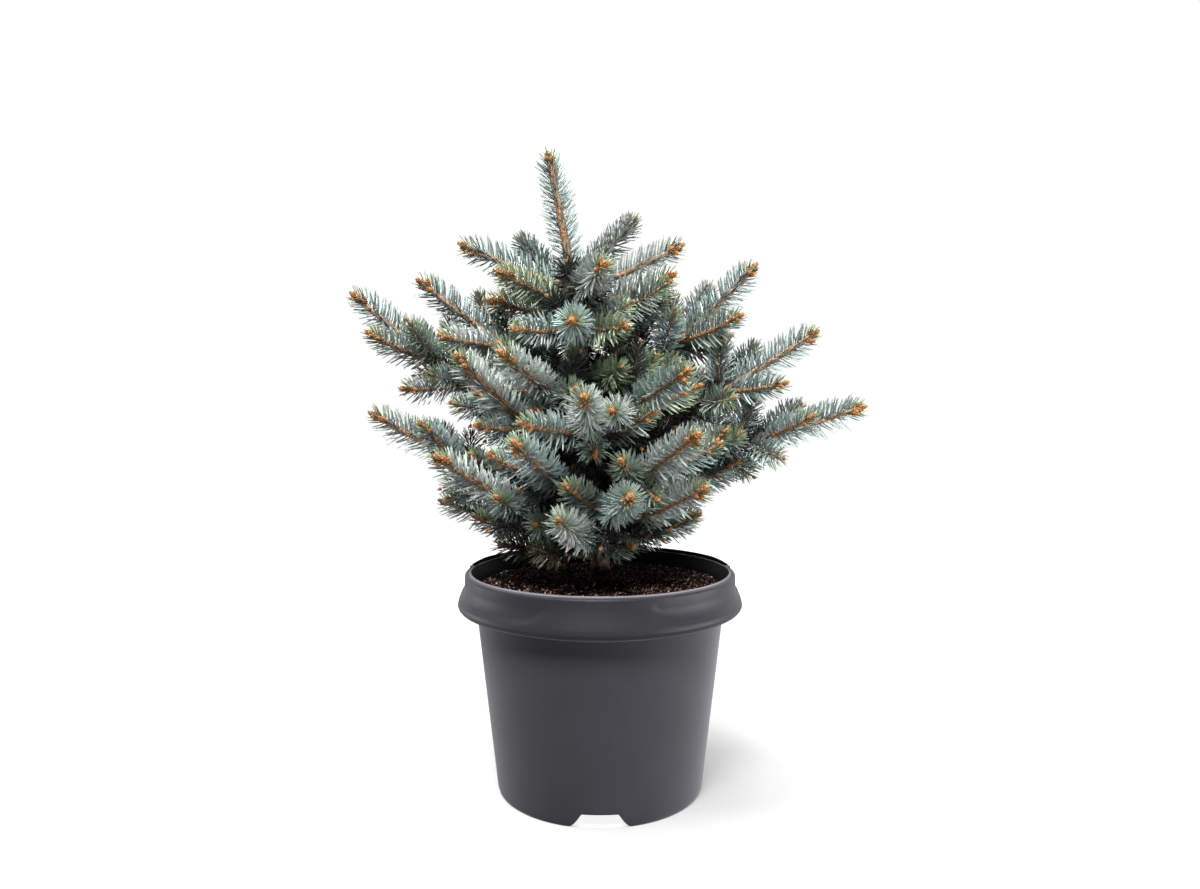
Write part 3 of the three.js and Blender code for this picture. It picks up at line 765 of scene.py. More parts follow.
def damp_soil(settings):
    """Damp peat, nearly black, with browner patches."""
    return grainy("damp_soil", settings.earth, depths=(0.1, 3.4), mottle_size=2.4,
                  roughness=(0.75, 0.95), bump=0.5, Specular_IOR_Level=0.08)


def bark_chips(settings):
    """Composted bark in red-browns."""
    return grainy("bark_chips", settings.chips, depths=(0.3, 1.6), mottle_size=5,
                  roughness=(0.7, 0.9), bump=0.2)


def pale_grains(settings):
    """Pale mineral grains, dulled by the peat."""
    return grainy("pale_grains", settings.specks, depths=(0.55, 1.5), mottle_size=4,
                  roughness=(0.7, 0.9), bump=0.1)


def old_bark(settings):
    """Scaly grey-brown bark."""
    return grainy("old_bark", settings.old_bark, depths=(0.35, 1.6), mottle_size=3.2,
                  roughness=(0.75, 0.92), bump=0.6)


def twig_bark(name, plain):
    """The pegged bark of a twig, mottled darker and lighter."""
    return grainy(name, plain, depths=(0.28, 1.5), mottle_size=1.3, roughness=(0.5, 0.7), bump=0.4,
                  low=0.4, high=0.6)


def bud_scales(settings):
    """Papery bud scales, brown at the bud's base and golden towards its point."""
    scales = settings.scales
    material, tree, shader = new_material("bud_scales", Roughness=0.6)
    gold = weighed(tree, mottled(tree, 2.2)["Mask"], 0.4, marked(tree, "along"))
    tree.links.new(blended(tree, gold, shaded(scales, 0.15), shaded(scales, 1.5)), shader["Base Color"])
    return material


def waxy_needles(name, plain):
    """Waxy needles, no two quite the same colour, with a painted highlight and painted shade on their
    faces and painted shade towards the stem.
    """
    material, tree, shader = new_material("needles_" + name, Specular_IOR_Level=0.65)
    cloud = mottled(tree, 3.5, 0.36, 0.62)
    # Partly the waxy coat, partly painted light: each needle has a face pale as a painted highlight and
    # one dark as painted shade
    wax_and_painted_light = weighed(tree, cloud["Mask"], 0.42, marked(tree, "bloom"))
    mixed = blended(tree, wax_and_painted_light, shaded(plain, 0.08), shaded(plain, 2))
    # Painted shade: each needle darker towards the stem, where the needles shade each other
    clear = ranged(tree, marked(tree, "out"), 0.25, 1, 0, 0.6)
    tree.links.new(blended(tree, clear, shaded(plain, 0.05), mixed), shader["Base Color"])
    tree.links.new(ranged(tree, cloud["Mask"], 0.26, 0.42), shader["Roughness"])
    return material


# The plant's rule of growth, by which its solids have the same boughs and side shoots

UP = np.array([0.0, 0.0, 1.0])


def seeded(seed):
    """Random numbers from 0 to 1 that are the same each time."""
    state = seed

    def draw(low=0.0, high=1.0):
        nonlocal state
        state = (state * 1664525 + 1013904223) % 2**32
        return mix(low, high, state / 2**32)

    return draw


def unit(vector):
    """A vector's direction."""
    return vector / np.linalg.norm(vector)


def turned(vector, axis, degrees):
    """A vector turned about an axis of length 1."""
    angle = math.radians(degrees)
    level = vector * math.cos(angle) + np.cross(axis, vector) * math.sin(angle)
    return level + axis * np.dot(axis, vector) * (1 - math.cos(angle))


def trunk_share(z):
    """How far up the plant a height is, from 0 to 1."""
    return np.clip((z - SOIL_TOP) / (PLANT_TOP - SOIL_TOP), 0, 1)


def trunk_axis(z):
    """The middle of the trunk at a height, or at many."""
    share = trunk_share(z)
    return np.stack([-TRUNK_LEAN * share**1.8, TRUNK_BOW * np.sin(3 * share), z + 0 * share], axis=-1)


def trunk_radius(z):
    """The trunk's radius, with the flare at its root."""
    flare = ROOT_FLARE * np.exp(-(z - SOIL_TOP) / ROOT_FLARE_HEIGHT)
    return mix(TRUNK_RADIUS_FOOT, TRUNK_RADIUS_TIP, trunk_share(z) ** 0.9) + flare


class Curve:
    """A bending line whose shares are measured along its length."""

    def __init__(self, root, bend, tip):
        self.root, self.bend, self.tip = root, bend, tip
        self.steps = np.linspace(0, 1, 201)
        spans = np.linalg.norm(np.diff(self.at(self.steps), axis=0), axis=1)
        self.travel = np.concatenate([[0], np.cumsum(spans)])
        self.length = self.travel[-1]

    def at(self, t):
        """The place at a step of the line's formula, or at many."""
        t = np.asarray(t)[..., None]
        return self.root * (1 - t) ** 2 + self.bend * 2 * t * (1 - t) + self.tip * t**2

    def step(self, share):
        """The formula's step at a share of the length."""
        return np.interp(np.asarray(share) * self.length, self.travel, self.steps)

    def point(self, share):
        """The place at a share of the length, or at many."""
        return self.at(self.step(share))

    def tangent(self, share):
        """The direction at a share of the length."""
        t = self.step(share)
        return unit((self.bend - self.root) * (1 - t) + (self.tip - self.bend) * t)

    def path(self, start, end, count):
        """The places between two shares, in count even steps."""
        return self.point(np.linspace(start, end, count + 1))


def bough_curve(height, azimuth, reach, rise):
    """A bough from the trunk's middle to its tip."""
    root = trunk_axis(height)
    along = np.array([math.cos(math.radians(azimuth)), math.sin(math.radians(azimuth)), 0])
    bend = root + along * reach * BOUGH_BEND[0] + UP * rise * BOUGH_BEND[1]
    return Curve(root, bend, root + along * reach + UP * rise)


def side_curve(parent, share, angle, roll, length):
    """A side shoot that leaves its parent at an angle, turned about it by roll, and lifts at its end."""
    start, tangent = parent.point(share), parent.tangent(share)
    side = turned(unit(np.cross(UP, tangent)), tangent, roll)
    along = tangent * math.cos(math.radians(angle)) + side * math.sin(math.radians(angle))
    tip = start + along * length + UP * length * SHOOT_LIFT
    return Curve(start, start + along * length * 0.5, tip)


class Lines:
    """The middle lines of all shoots so far, which new shoots keep clear of."""

    def __init__(self):
        self.paths = []

    def add(self, path):
        """Keeps a path, and returns its number."""
        self.paths.append(path)
        return len(self.paths) - 1

    def least_distance(self, path, own):
        """The least distance between a path and all lines but its own."""
        others = [p for i, p in enumerate(self.paths) if i != own]
        starts = np.concatenate([p[:-1] for p in others])[None]
        ends = np.concatenate([p[1:] for p in others])[None]
        first, second = path[:-1, None], path[1:, None]
        u, v, w = second - first, ends - starts, first - starts
        a, b, c = (u * u).sum(-1), (u * v).sum(-1), (v * v).sum(-1)
        d, e = (u * w).sum(-1), (v * w).sum(-1)
        cross = a * c - b * b
        safe = np.where(cross < 1e-9, 1, cross)
        s = np.where(cross < 1e-9, 0, np.clip((b * e - c * d) / safe, 0, 1))
        t = np.clip((b * s + e) / c, 0, 1)
        s = np.clip((b * t - d) / a, 0, 1)
        return np.linalg.norm(w + u * s[..., None] - v * t[..., None], axis=-1).min()


# kind is leader, end, side or fine; old wood runs from share 0 to start, and needles from start to 1.
Shoot = collections.namedtuple("Shoot", "kind bough curve start length")
Bough = collections.namedtuple("Bough", "name curve line has_limb is_low roll limb_end node")


def try_side(lines, bough, share, way, angle, length, clearance=SHOOT_CLEARANCE):
    """Grows a side shoot where it stays above the soil and clear of all lines but its bough's."""
    curve = side_curve(bough.curve, share, angle, way, length)
    free = SHOOT_FREE / length
    body = curve.path(free, 1, 3)
    low = body[:, 2].min() < SOIL_TOP + SHOOT_HEIGHT
    if low or lines.least_distance(body, bough.line) < clearance:
        return []
    lines.add(curve.path(free, 1, 4))
    return [curve]


def side_shoots(lines, bough, random):
    """The side shoots that a bough's solid has: those at the foot of its end shoot, then others."""
    sides = []
    droop = -SIDE_LIFT_LOW if bough.is_low else SIDE_DROOP
    ways = list(zip((-droop, 180 + droop, -90), SIDE_LENGTHS))
    for way, share_of_length in ways[:2] if bough.is_low else ways:
        length = TERMINAL_LENGTH * share_of_length * random(*SIDE_UNEVEN)
        angle = SIDE_ANGLE * random(*SIDE_UNEVEN)
        way = bough.roll + way + random(-SIDE_ROLL, SIDE_ROLL)
        sides += try_side(lines, bough, bough.node - 0.01, way, angle, length)
    count = math.floor((bough.node - bough.limb_end) * bough.curve.length / SIDE_SPACING)
    for i in range(1, count + 1):
        share = mix(bough.node, bough.limb_end, (i - 0.1) / (count + 0.6))
        way = bough.roll + (-droop if i % 2 else 180 + droop) + random(-REAR_ROLL, REAR_ROLL)
        length = TERMINAL_LENGTH * random(*REAR_LENGTH)
        sides += try_side(lines, bough, share, way, REAR_ANGLE, length)
    return sides


def before_sky(curve):
    """Whether a shoot would stand before a gap where the sky shows through."""
    path = curve.path(0, 1, 8)
    share = VIEW_POINT[1] / (VIEW_POINT[1] - path[:, 1])
    seen = VIEW_POINT + (path - VIEW_POINT) * share[:, None]
    return any(np.any((abs(seen[:, 0] - x) < wide) & (abs(seen[:, 2] - z) < high))
               for x, z, wide, high in SKY_GAPS)


def fine_shoots(lines, bough, random):
    """Shorter shoots all round a bough's older wood."""
    shoots = []
    first = FINE_FIRST / bough.curve.length
    count = math.floor((bough.node - first) * bough.curve.length / FINE_SPACING)
    for i in range(count):
        share = mix(first, bough.node, (i + random(0.2, 0.8)) / count)
        way = bough.roll + SHOOT_TURN * i + random(-FINE_ROLL, FINE_ROLL)
        angle = random(*FINE_ANGLE)
        shoots += try_side(lines, bough, share, way, angle, random(*FINE_LENGTH), FINE_CLEARANCE)
    return shoots


def inner_shoots(lines, random):
    """Short shoots straight from the trunk, which fill the heart of the crown."""
    shoots = []
    count = round((INNER_HEIGHTS[1] - INNER_HEIGHTS[0]) / INNER_SPACING)
    for i in range(count):
        height = mix(*INNER_HEIGHTS, i / count)
        length = random(*INNER_LENGTH)
        rise = length * random(*INNER_RISE)
        curve = bough_curve(height, SHOOT_TURN * i, length * INNER_REACH, rise)
        body = curve.path(SHOOT_FREE / curve.length, 1, 3)
        if lines.least_distance(body, 0) > FINE_CLEARANCE:
            lines.add(body)
            shoots.append(curve)
    return shoots


@functools.cache
def plant():
    """The whole skeleton: the boughs, and every shoot that has needles."""
    lines = Lines()
    lines.add(trunk_axis(np.linspace(SOIL_TOP, PLANT_TOP, 13)))
    boughs = []
    for bough_set, has_limb, is_low in BOUGH_SETS:
        for name, row in bough_set.items():
            curve = bough_curve(*row[:4])
            line = lines.add(curve.path(0.12, 1, 4))
            roll = row[4] if len(row) > 4 else None
            node = max(0.3, 1 - TERMINAL_LENGTH / curve.length)
            limb_end = node * LIMB_SHARE if has_limb else 0
            boughs.append(Bough(name, curve, line, has_limb, is_low, roll, limb_end, node))
    random = seeded(SEEDS["growth"])
    shoots = []
    for bough in boughs:
        if bough.roll is None:
            shoots.append(Shoot("end", bough.name, bough.curve, TOP_START, bough.curve.length))
            continue
        shoots.append(Shoot("end", bough.name, bough.curve, bough.node, TERMINAL_LENGTH))
        for curve in side_shoots(lines, bough, random):
            shoots.append(Shoot("side", bough.name, curve, SIDE_START, curve.length))
    random = seeded(SEEDS["fine"])
    for bough in boughs:
        if bough.roll is not None:
            for curve in fine_shoots(lines, bough, random):
                if not before_sky(curve):
                    shoots.append(Shoot("fine", bough.name, curve, SIDE_START, curve.length))
    for curve in inner_shoots(lines, random):
        if not before_sky(curve):
            shoots.append(Shoot("fine", None, curve, INNER_START, curve.length))
    return boughs, shoots


def strand(path, **numbers):
    """A line of points with numbers along it, each a pair of its first and last value or a list."""
    spread = np.linspace(0, 1, len(path))
    return path, {key: np.interp(spread, np.linspace(0, 1, len(v)), v) for key, v in numbers.items()}


def line_object(name, strands):
    """One mesh of open lines, with the strands' numbers as attributes of its points."""
    edges = []
    first = 0
    for path, _ in strands:
        edges += [(i, i + 1) for i in range(first, first + len(path) - 1)]
        first += len(path)
    made = new_object(name, np.concatenate([path for path, _ in strands]), edges)
    for key in strands[0][1]:
        mark(made, key, np.concatenate([numbers[key] for _, numbers in strands]))
    return made


# The pot


def body_radius(z):
    """The pot's outer radius at a height below the collar."""
    return BODY_RADIUS_LOW + BODY_FLARE * z


def inner_radius(z):
    """The pot's inner radius at a height."""
    return np.minimum(body_radius(z) - WALL, LIP_INNER_RADIUS - 0.12 * (POT_HEIGHT - z))


def away_from(azimuths, places):
    """The angle from each azimuth to the nearest of some places, in degrees."""
    return np.min([np.abs((azimuths - p + 540) % 360 - 180) for p in places], axis=0)


def notch_rise(azimuths, height):
    """How far the foot is lifted at each azimuth: level over a notch, then down to rounded lobes."""
    across = FOOT_RADIUS * np.sin(np.radians(np.minimum(90, away_from(azimuths, NOTCH_AZIMUTHS))))
    return height * (1 - np.clip((across - NOTCH_WIDTH / 2) / NOTCH_SPLAY, 0, 1)) ** 1.5


def panel_dip(azimuths, z):
    """How far a grip panel is pressed in, from 0 to 1, with round lower corners and soft edges."""
    past_end = np.radians(away_from(azimuths, PANEL_AZIMUTHS) - PANEL_HALF_ANGLE) * COLLAR_RADIUS
    across = np.maximum(past_end * PANEL_SQUEEZE + PANEL_CORNER, 0)
    below = max(PANEL_FOOT + PANEL_CORNER - z, 0)
    inside = PANEL_CORNER - np.hypot(across, below)
    fading = 1 - smoothstep(z - PANEL_FOOT, *PANEL_FADE)
    return smoothstep(inside, -PANEL_SLOPE / 2, PANEL_SLOPE / 2) * fading


def collar_rows(azimuths, panel_depth):
    """The collar's outside, from its lower edge to its lip, pressed in at the grip panels."""
    outline = np.array([
        [COLLAR_RADIUS - 8.2, COLLAR_BOTTOM + 2.9],
        [COLLAR_RADIUS - 5.6, COLLAR_BOTTOM + 3.2],
        [COLLAR_RADIUS - 3.2, COLLAR_BOTTOM + 3.9],
        [COLLAR_RADIUS - 1.6, COLLAR_BOTTOM + 4.8],
        [COLLAR_RADIUS - 0.5, COLLAR_BULGE_HEIGHT - 1.4],
        [COLLAR_RADIUS, COLLAR_BULGE_HEIGHT],
        [COLLAR_RADIUS - 0.5, COLLAR_BULGE_HEIGHT + 2.6],
        [COLLAR_RADIUS - 1.5, COLLAR_BULGE_HEIGHT + 5.6],
        [COLLAR_RADIUS - 2.8, COLLAR_BULGE_HEIGHT + 9.6],
        [COLLAR_RADIUS - 3.8, COLLAR_BULGE_HEIGHT + 13],
        [COLLAR_RADIUS - 4.6, COLLAR_BULGE_HEIGHT + 17],
        [LIP_RADIUS + 0.2, POT_HEIGHT - 2.2],
    ])
    rows = []
    for step in np.linspace(0, len(outline) - 1, COLLAR_RINGS):
        radius, z = (np.interp(step, np.arange(len(outline)), outline[:, i]) for i in (0, 1))
        rows.append((radius - panel_depth * panel_dip(azimuths, z), z))
    return rows


def lip_rows(azimuths, groove_depth):
    """The lip: flat in front, and round the back an open channel whose outer wall is the taller."""
    back = (azimuths > GROOVE_FROM) & (azimuths < GROOVE_TO)
    from_knobs = away_from(azimuths, (GROOVE_FROM - 1, GROOVE_TO + 1))
    knob = KNOB_HEIGHT * np.exp(-(from_knobs / KNOB_ANGLE) ** 2)
    from_ends = away_from(azimuths, (GROOVE_FROM, GROOVE_TO))
    taller = mix(*BACK_WALL, smoothstep(from_ends, 0, BACK_WALL_ANGLE))
    outer, inner = LIP_RADIUS, LIP_INNER_RADIUS
    front_lip = (
        (outer + 0.1 + knob, -2.2), (outer - 0.2 + knob, -1.5 + knob), (outer - 0.7 + knob, -1.2 + knob),
        (outer - 1.3, -1.2), (outer - 1.9, -1.1), (outer - 2.4, -0.95), (inner + 1.1, -0.7),
        (inner + 0.7, -0.3), (inner + 0.4, 0), (inner + 0.1, -0.25), (inner - 0.1, -1.2),
    )
    back_lip = (
        (outer + 0.1, -2.2), (outer, -0.9 + taller), (outer - 0.1, -0.2 + taller),
        (outer - 0.35, taller), (outer - 0.6, -0.3 + taller), (outer - 0.7, -groove_depth),
        (inner + 0.9, -groove_depth), (inner + 0.8, -0.7), (inner + 0.6, -0.55), (inner + 0.1, -0.6),
        (inner - 0.1, -1.6),
    )
    return [(np.where(back, r_back, r), POT_HEIGHT + np.where(back, z_back, z))
            for (r, z), (r_back, z_back) in zip(front_lip, back_lip)]


def pot_rows(azimuths, settings):
    """The pot's section at each azimuth, from under its middle, up outside, and down inside."""
    rise = notch_rise(azimuths, settings.notch_height / MM)
    floor_top = FLOOR_UNDERSIDE + WALL
    foot_inside = FOOT_RADIUS - WALL

    def inside(z):
        return foot_inside - 3 * z / FLOOR_UNDERSIDE

    def outside(z):
        corner = mix(FOOT_RADIUS, body_radius(CORNER_HEIGHT), z / CORNER_HEIGHT)
        return np.where(z < CORNER_HEIGHT, corner, body_radius(z))

    rows = [
        # The pad, the floor's underside and the notched foot
        (PAD_RADIUS - 0.8, 0),
        (PAD_RADIUS + 0.2, 0.5),
        (PAD_RADIUS + PAD_STEP - 0.3, FLOOR_UNDERSIDE - 0.8),
        (PAD_RADIUS + PAD_STEP + 0.6, FLOOR_UNDERSIDE),
        (inside(FLOOR_UNDERSIDE) - 0.8, FLOOR_UNDERSIDE),
        (inside(FLOOR_UNDERSIDE - 0.3), FLOOR_UNDERSIDE - 0.3),
        (inside(rise + 0.4), rise + 0.4),
        (inside(rise) + 0.35, rise),
        (outside(rise) - 0.6, rise),
        (outside(rise + 0.6) - 0.05, rise + 0.6),
    ]
    for i in range(1, FOOT_RINGS + 1):
        z = mix(rise + 0.6, NOTCH_REACH, i / FOOT_RINGS)
        rows.append((outside(z), z))
    top = COLLAR_BOTTOM + 1
    for z in np.linspace(NOTCH_REACH, top - 1.2, BODY_RINGS + 1)[1:]:
        rows.append((body_radius(z), z))
    # The bead where the body meets the collar, then the collar, the lip and the inner wall
    bead = ((0.1, 0), (0.7, 0.25), (1.5, 0.4), (2.1, 0.65), (2.4, 1), (2.3, 1.4), (1.6, 1.7),
            (1.6, 2.9), (3.9, 2.7))
    rows += [(body_radius(top) + out, top + up) for out, up in bead]
    rows += collar_rows(azimuths, settings.panel_depth / MM)
    rows += lip_rows(azimuths, settings.groove_depth / MM)
    for z in (POT_HEIGHT - 6, SOIL_EDGE - 2, 100, 50, floor_top + 1):
        rows.append((inner_radius(z), z))
    rows += [
        (inner_radius(floor_top) - 1, floor_top),
        (PAD_RADIUS, floor_top),
        (PAD_RADIUS - WALL, WALL),
    ]
    return rows


def drain_drill():
    """The bars that cut the drain holes, as one object."""
    shape = bmesh.new()
    for i in range(DRAIN_HOLES):
        angle = math.radians(NOTCH_AZIMUTHS[0] + 360 / DRAIN_HOLES * i)
        middle = Vector((math.cos(angle), math.sin(angle), 0)) * DRAIN_CIRCLE
        middle.z = FLOOR_UNDERSIDE + WALL / 2
        bar = bmesh.ops.create_cone(shape, cap_ends=True, segments=DRAIN_SIDES,
                                    radius1=DRAIN_RADIUS, radius2=DRAIN_RADIUS, depth=4 * WALL)
        bmesh.ops.translate(shape, verts=bar["verts"], vec=middle)
    points, faces = freed(shape)
    return new_object("drill", points, faces=faces)


def lathe_points(rows, azimuths):
    """The rings of points of a turned shape, whose section may change with the azimuth."""
    angles = np.radians(azimuths)
    rings = []
    for radius, z in rows:
        radius, z = radius + 0 * angles, z + 0 * angles
        rings.append(np.stack([radius * np.cos(angles), radius * np.sin(angles), z], axis=-1))
    return np.concatenate(rings)


def lathe(name, rows, azimuths, pole_heights, material):
    """A closed turned object: rings of points between two poles on the axis."""
    sides = len(azimuths)
    points = np.vstack([lathe_points(rows, azimuths), [(0, 0, z) for z in pole_heights]])
    faces = ring_faces(len(rows), sides)
    first, last = len(points) - 2, len(points) - 1
    end = (len(rows) - 1) * sides
    for k in range(sides):
        after = (k + 1) % sides
        faces += [(first, after, k), (last, end + k, end + after)]
    return new_object(name, points, faces=faces, material=material)


def make_pot(settings):
    """The pot, from its notched foot to its collar with grip panels and a channelled lip."""
    azimuths = np.arange(settings.sides) * 360 / settings.sides
    rows = pot_rows(azimuths, settings)
    rough = lathe("pot_blank", rows, azimuths, (0, WALL), pot_plastic(settings))
    drill = drain_drill()
    cut = rough.modifiers.new("Drain Holes", "BOOLEAN")
    cut.operation = "DIFFERENCE"
    cut.object = drill
    cut.solver = "EXACT"
    piece = evaluated(rough, "nursery_pot")
    discard(drill)
    finished(piece, "pot_plastic", "pot", smooth_angle=38)


# The soil


def make_soil(settings):
    """A lumpy bed of peat that fills the pot."""

    def inside(z):
        return inner_radius(z) - 1.5 * GAP

    azimuths = np.arange(SOIL_SIDES) * 360 / SOIL_SIDES
    floor = FLOOR_UNDERSIDE + WALL + GAP
    edge = inside(SOIL_EDGE)
    rows = [
        (PAD_RADIUS - WALL - 1, WALL + GAP),
        (PAD_RADIUS - 1, floor),
        (inside(floor), floor),
        (inside(60), 60),
        (edge, SOIL_EDGE - 1),
    ]
    lump = settings.relief / MM
    radii, levels = zip(*SOIL_LEVELS, (edge, SOIL_EDGE))
    for radius in np.linspace(edge, 1.2, SOIL_RINGS):
        heights = []
        for angle in np.radians(azimuths):
            place = Vector((radius * math.cos(angle), radius * math.sin(angle), 0))
            heights.append(noise.fractal(place / SOIL_LUMP, 0.7, 2.1, 4))
        calm = smoothstep(edge + 1 - radius, 0, SOIL_MARGIN)
        rows.append((radius, np.interp(radius, radii, levels) + lump * calm * np.array(heights)))
    soil = lathe("soil_bed", rows, azimuths, (WALL + GAP, SOIL_TOP), damp_soil(settings))
    finished(soil, "soil", "potting_soil", smooth_angle=50)
    return soil


def lump_object(stretch, random):
    """One small uneven grain, of width 1 mm before it is stretched."""
    shape = bmesh.new()
    bmesh.ops.create_icosphere(shape, subdivisions=1, radius=0.5)
    points, faces = freed(shape)
    points = [point * random(0.7, 1.25) * stretch for point in points]
    return new_object("grain", points, faces=faces)


@functools.cache
def scatter_tree():
    """A tree that strews one small object over the upward faces of a surface."""
    tree, given, result = geometry_tree(
        "Strewn Grains", Grain="Object", Density="Float", Smallest="Float", Largest="Float",
        Lowest="Float", Reach="Float", Tumble="Vector", Seed="Int", Material="Material")
    facing = parts_of(tree, output(tree, "GeometryNodeInputNormal"))
    parts = parts_of(tree, output(tree, "GeometryNodeInputPosition"))
    upward = chained(tree, "MULTIPLY",
                     arithmetic(tree, "GREATER_THAN", facing["Z"], 0.4),
                     arithmetic(tree, "GREATER_THAN", parts["Z"], given["Lowest"]),
                     arithmetic(tree, "LESS_THAN", axis_distance(tree, parts), given["Reach"]))
    spread = add_node(tree, "GeometryNodeDistributePointsOnFaces",
                      {"Mesh": given["Geometry"], "Selection": upward, "Density": given["Density"],
                       "Seed": given["Seed"]})
    turn = add_node(tree, "FunctionNodeRandomValue",
                    {0: vectors(tree, "SCALE", given["Tumble"], -1.0), 1: given["Tumble"],
                     "Seed": given["Seed"]}, data_type="FLOAT_VECTOR")
    bias = arithmetic(tree, "POWER", drawn(tree, given["Seed"]), 2.5)
    scale = ranged(tree, bias, given["Smallest"], given["Largest"])
    strewn = placed(tree, spread.outputs["Points"], given["Grain"], turn.outputs[0], scale)
    return close_tree(tree, given, result, strewn)


def strew(name, soil, grain, material, density, smallest, largest, seed, lying):
    """Strews a grain over the soil, by the grains for each square centimetre and their widths."""
    reach = float(inner_radius(SOIL_EDGE)) - 1 - largest * (2.2 if lying else 0.7)
    tumble = (0.2, 0.2, math.pi) if lying else (math.pi, math.pi, math.pi)
    bed = linked("bed", soil.data.copy())
    piece = grown(bed, scatter_tree(), name, Grain=grain, Density=density * PER_SQUARE_CM,
                  Smallest=smallest, Largest=largest, Lowest=(SOIL_EDGE - 4) * MM, Reach=reach * MM,
                  Tumble=tumble, Seed=seed, Material=material)
    discard(grain)
    finished(piece, "soil", "potting_soil")


def make_grains(soil, settings):
    """Peat crumbs, bark chips, fibres and pale grains on the soil."""
    dark, chips, pale = soil.data.materials[0], bark_chips(settings), pale_grains(settings)
    # Stretch, grains for each square centimetre, least and greatest width in crumbs, seed and lie
    rows = {
        "soil_crumbs": (dark, (1, 0.8, 0.7), 14, 0.2, 1.1, 3, False),
        "soil_bark_chips": (chips, (1.3, 0.7, 0.35), 9, 0.2, 1.2, 5, False),
        "soil_fibres": (chips, (3.6, 0.16, 0.16), 2.2, 0.4, 1, 7, True),
        "soil_pale_grains": (pale, (1, 0.9, 0.8), 3.5, 0.15, 0.8, 11, False),
    }
    random = seeded(SEEDS["grains"])
    crumb = settings.crumb / MM
    for name, (finish, stretch, density, least, greatest, seed, lying) in rows.items():
        grain = lump_object(np.array(stretch), random)
        strew(name, soil, grain, finish, density, crumb * least, crumb * greatest, seed, lying)


# The wood


def bark_tube(path, radii, sides, relief, lobes=None):
    """Points and faces of a closed tapering limb with scaly bark along a path."""
    tangents = np.gradient(path, axis=0)
    tangents /= np.linalg.norm(tangents, axis=1)[:, None]
    middle = tangents[len(path) // 2]
    across = np.cross(middle, UP) if abs(middle[2]) < 0.9 else np.array([1.0, 0, 0])
    points = []
    for i, (centre, tangent, radius) in enumerate(zip(path, tangents, radii)):
        side = unit(across - tangent * np.dot(across, tangent))
        other = np.cross(tangent, side)
        for k in range(sides):
            angle = 2 * math.pi * k / sides
            spoke = side * math.cos(angle) + other * math.sin(angle)
            bare = radius * (1 + (lobes[i] * math.cos(3 * angle) if lobes is not None else 0))
            place = Vector(centre + spoke * bare)
            ridges = noise.noise(Vector((angle * 2, 0, i * 0.07)))
            scales = noise.fractal(place / BARK_SCALE, 0.8, 2.2, 3) + 0.6 * ridges
            points.append(centre + spoke * (bare + relief * scales))
    faces = ring_faces(len(path), sides)
    last = (len(path) - 1) * sides
    faces += [tuple(range(sides))[::-1], tuple(range(last, last + sides))]
    return points, faces


def joined_tubes(name, tubes, material):
    """One object from several tubes."""
    points, faces = [], []
    for tube_points, tube_faces in tubes:
        first = len(points)
        points += tube_points
        faces += [tuple(v + first for v in face) for face in tube_faces]
    return new_object(name, points, faces=faces, material=material)


def make_trunk(settings):
    """The trunk, whole, from its lobed root flare at the soil to its top among the leader's needles."""
    bare = np.linspace(SOIL_TOP + GAP, BARE_TRUNK_TOP, TRUNK_RINGS[0])
    covered = np.linspace(BARE_TRUNK_TOP, TRUNK_TOP, TRUNK_RINGS[1])
    heights = np.concatenate([bare, covered[1:]])
    relief = settings.relief / MM
    lobes = ROOT_LOBES * np.exp(-(heights - SOIL_TOP) / ROOT_FLARE_HEIGHT)
    tube = bark_tube(trunk_axis(heights), trunk_radius(heights) - 0.1, TRUNK_SIDES, relief, lobes)
    trunk = joined_tubes("trunk_bark", [tube], old_bark(settings))
    finished(trunk, "bark", "trunk", smooth_angle=BARK_ANGLE)


def make_boughs(settings):
    """Every bough's older wood, from the trunk to the foot of its end shoot."""
    boughs, _ = plant()
    tubes = []
    for bough in boughs:
        if bough.roll is None:
            continue
        count = round(bough.node * bough.curve.length / LIMB_STEP)
        path = bough.curve.path(0.01, bough.node + 0.01, count)
        radii = np.linspace(LIMB_RADIUS_ROOT, OLD_WOOD_RADIUS, count + 1)
        radii = radii + LIMB_FLARE * np.exp(-np.arange(count + 1) * LIMB_STEP / LIMB_FLARE_LENGTH)
        tubes.append(bark_tube(path, radii, LIMB_SIDES, settings.relief / MM * 0.8))
    bark = bpy.data.materials.get("old_bark") or old_bark(settings)
    piece = joined_tubes("boughs_bark", tubes, bark)
    limbs = ["bough_" + bough.name for bough in boughs if bough.has_limb]
    finished(piece, "bark", *limbs, smooth_angle=BARK_ANGLE)


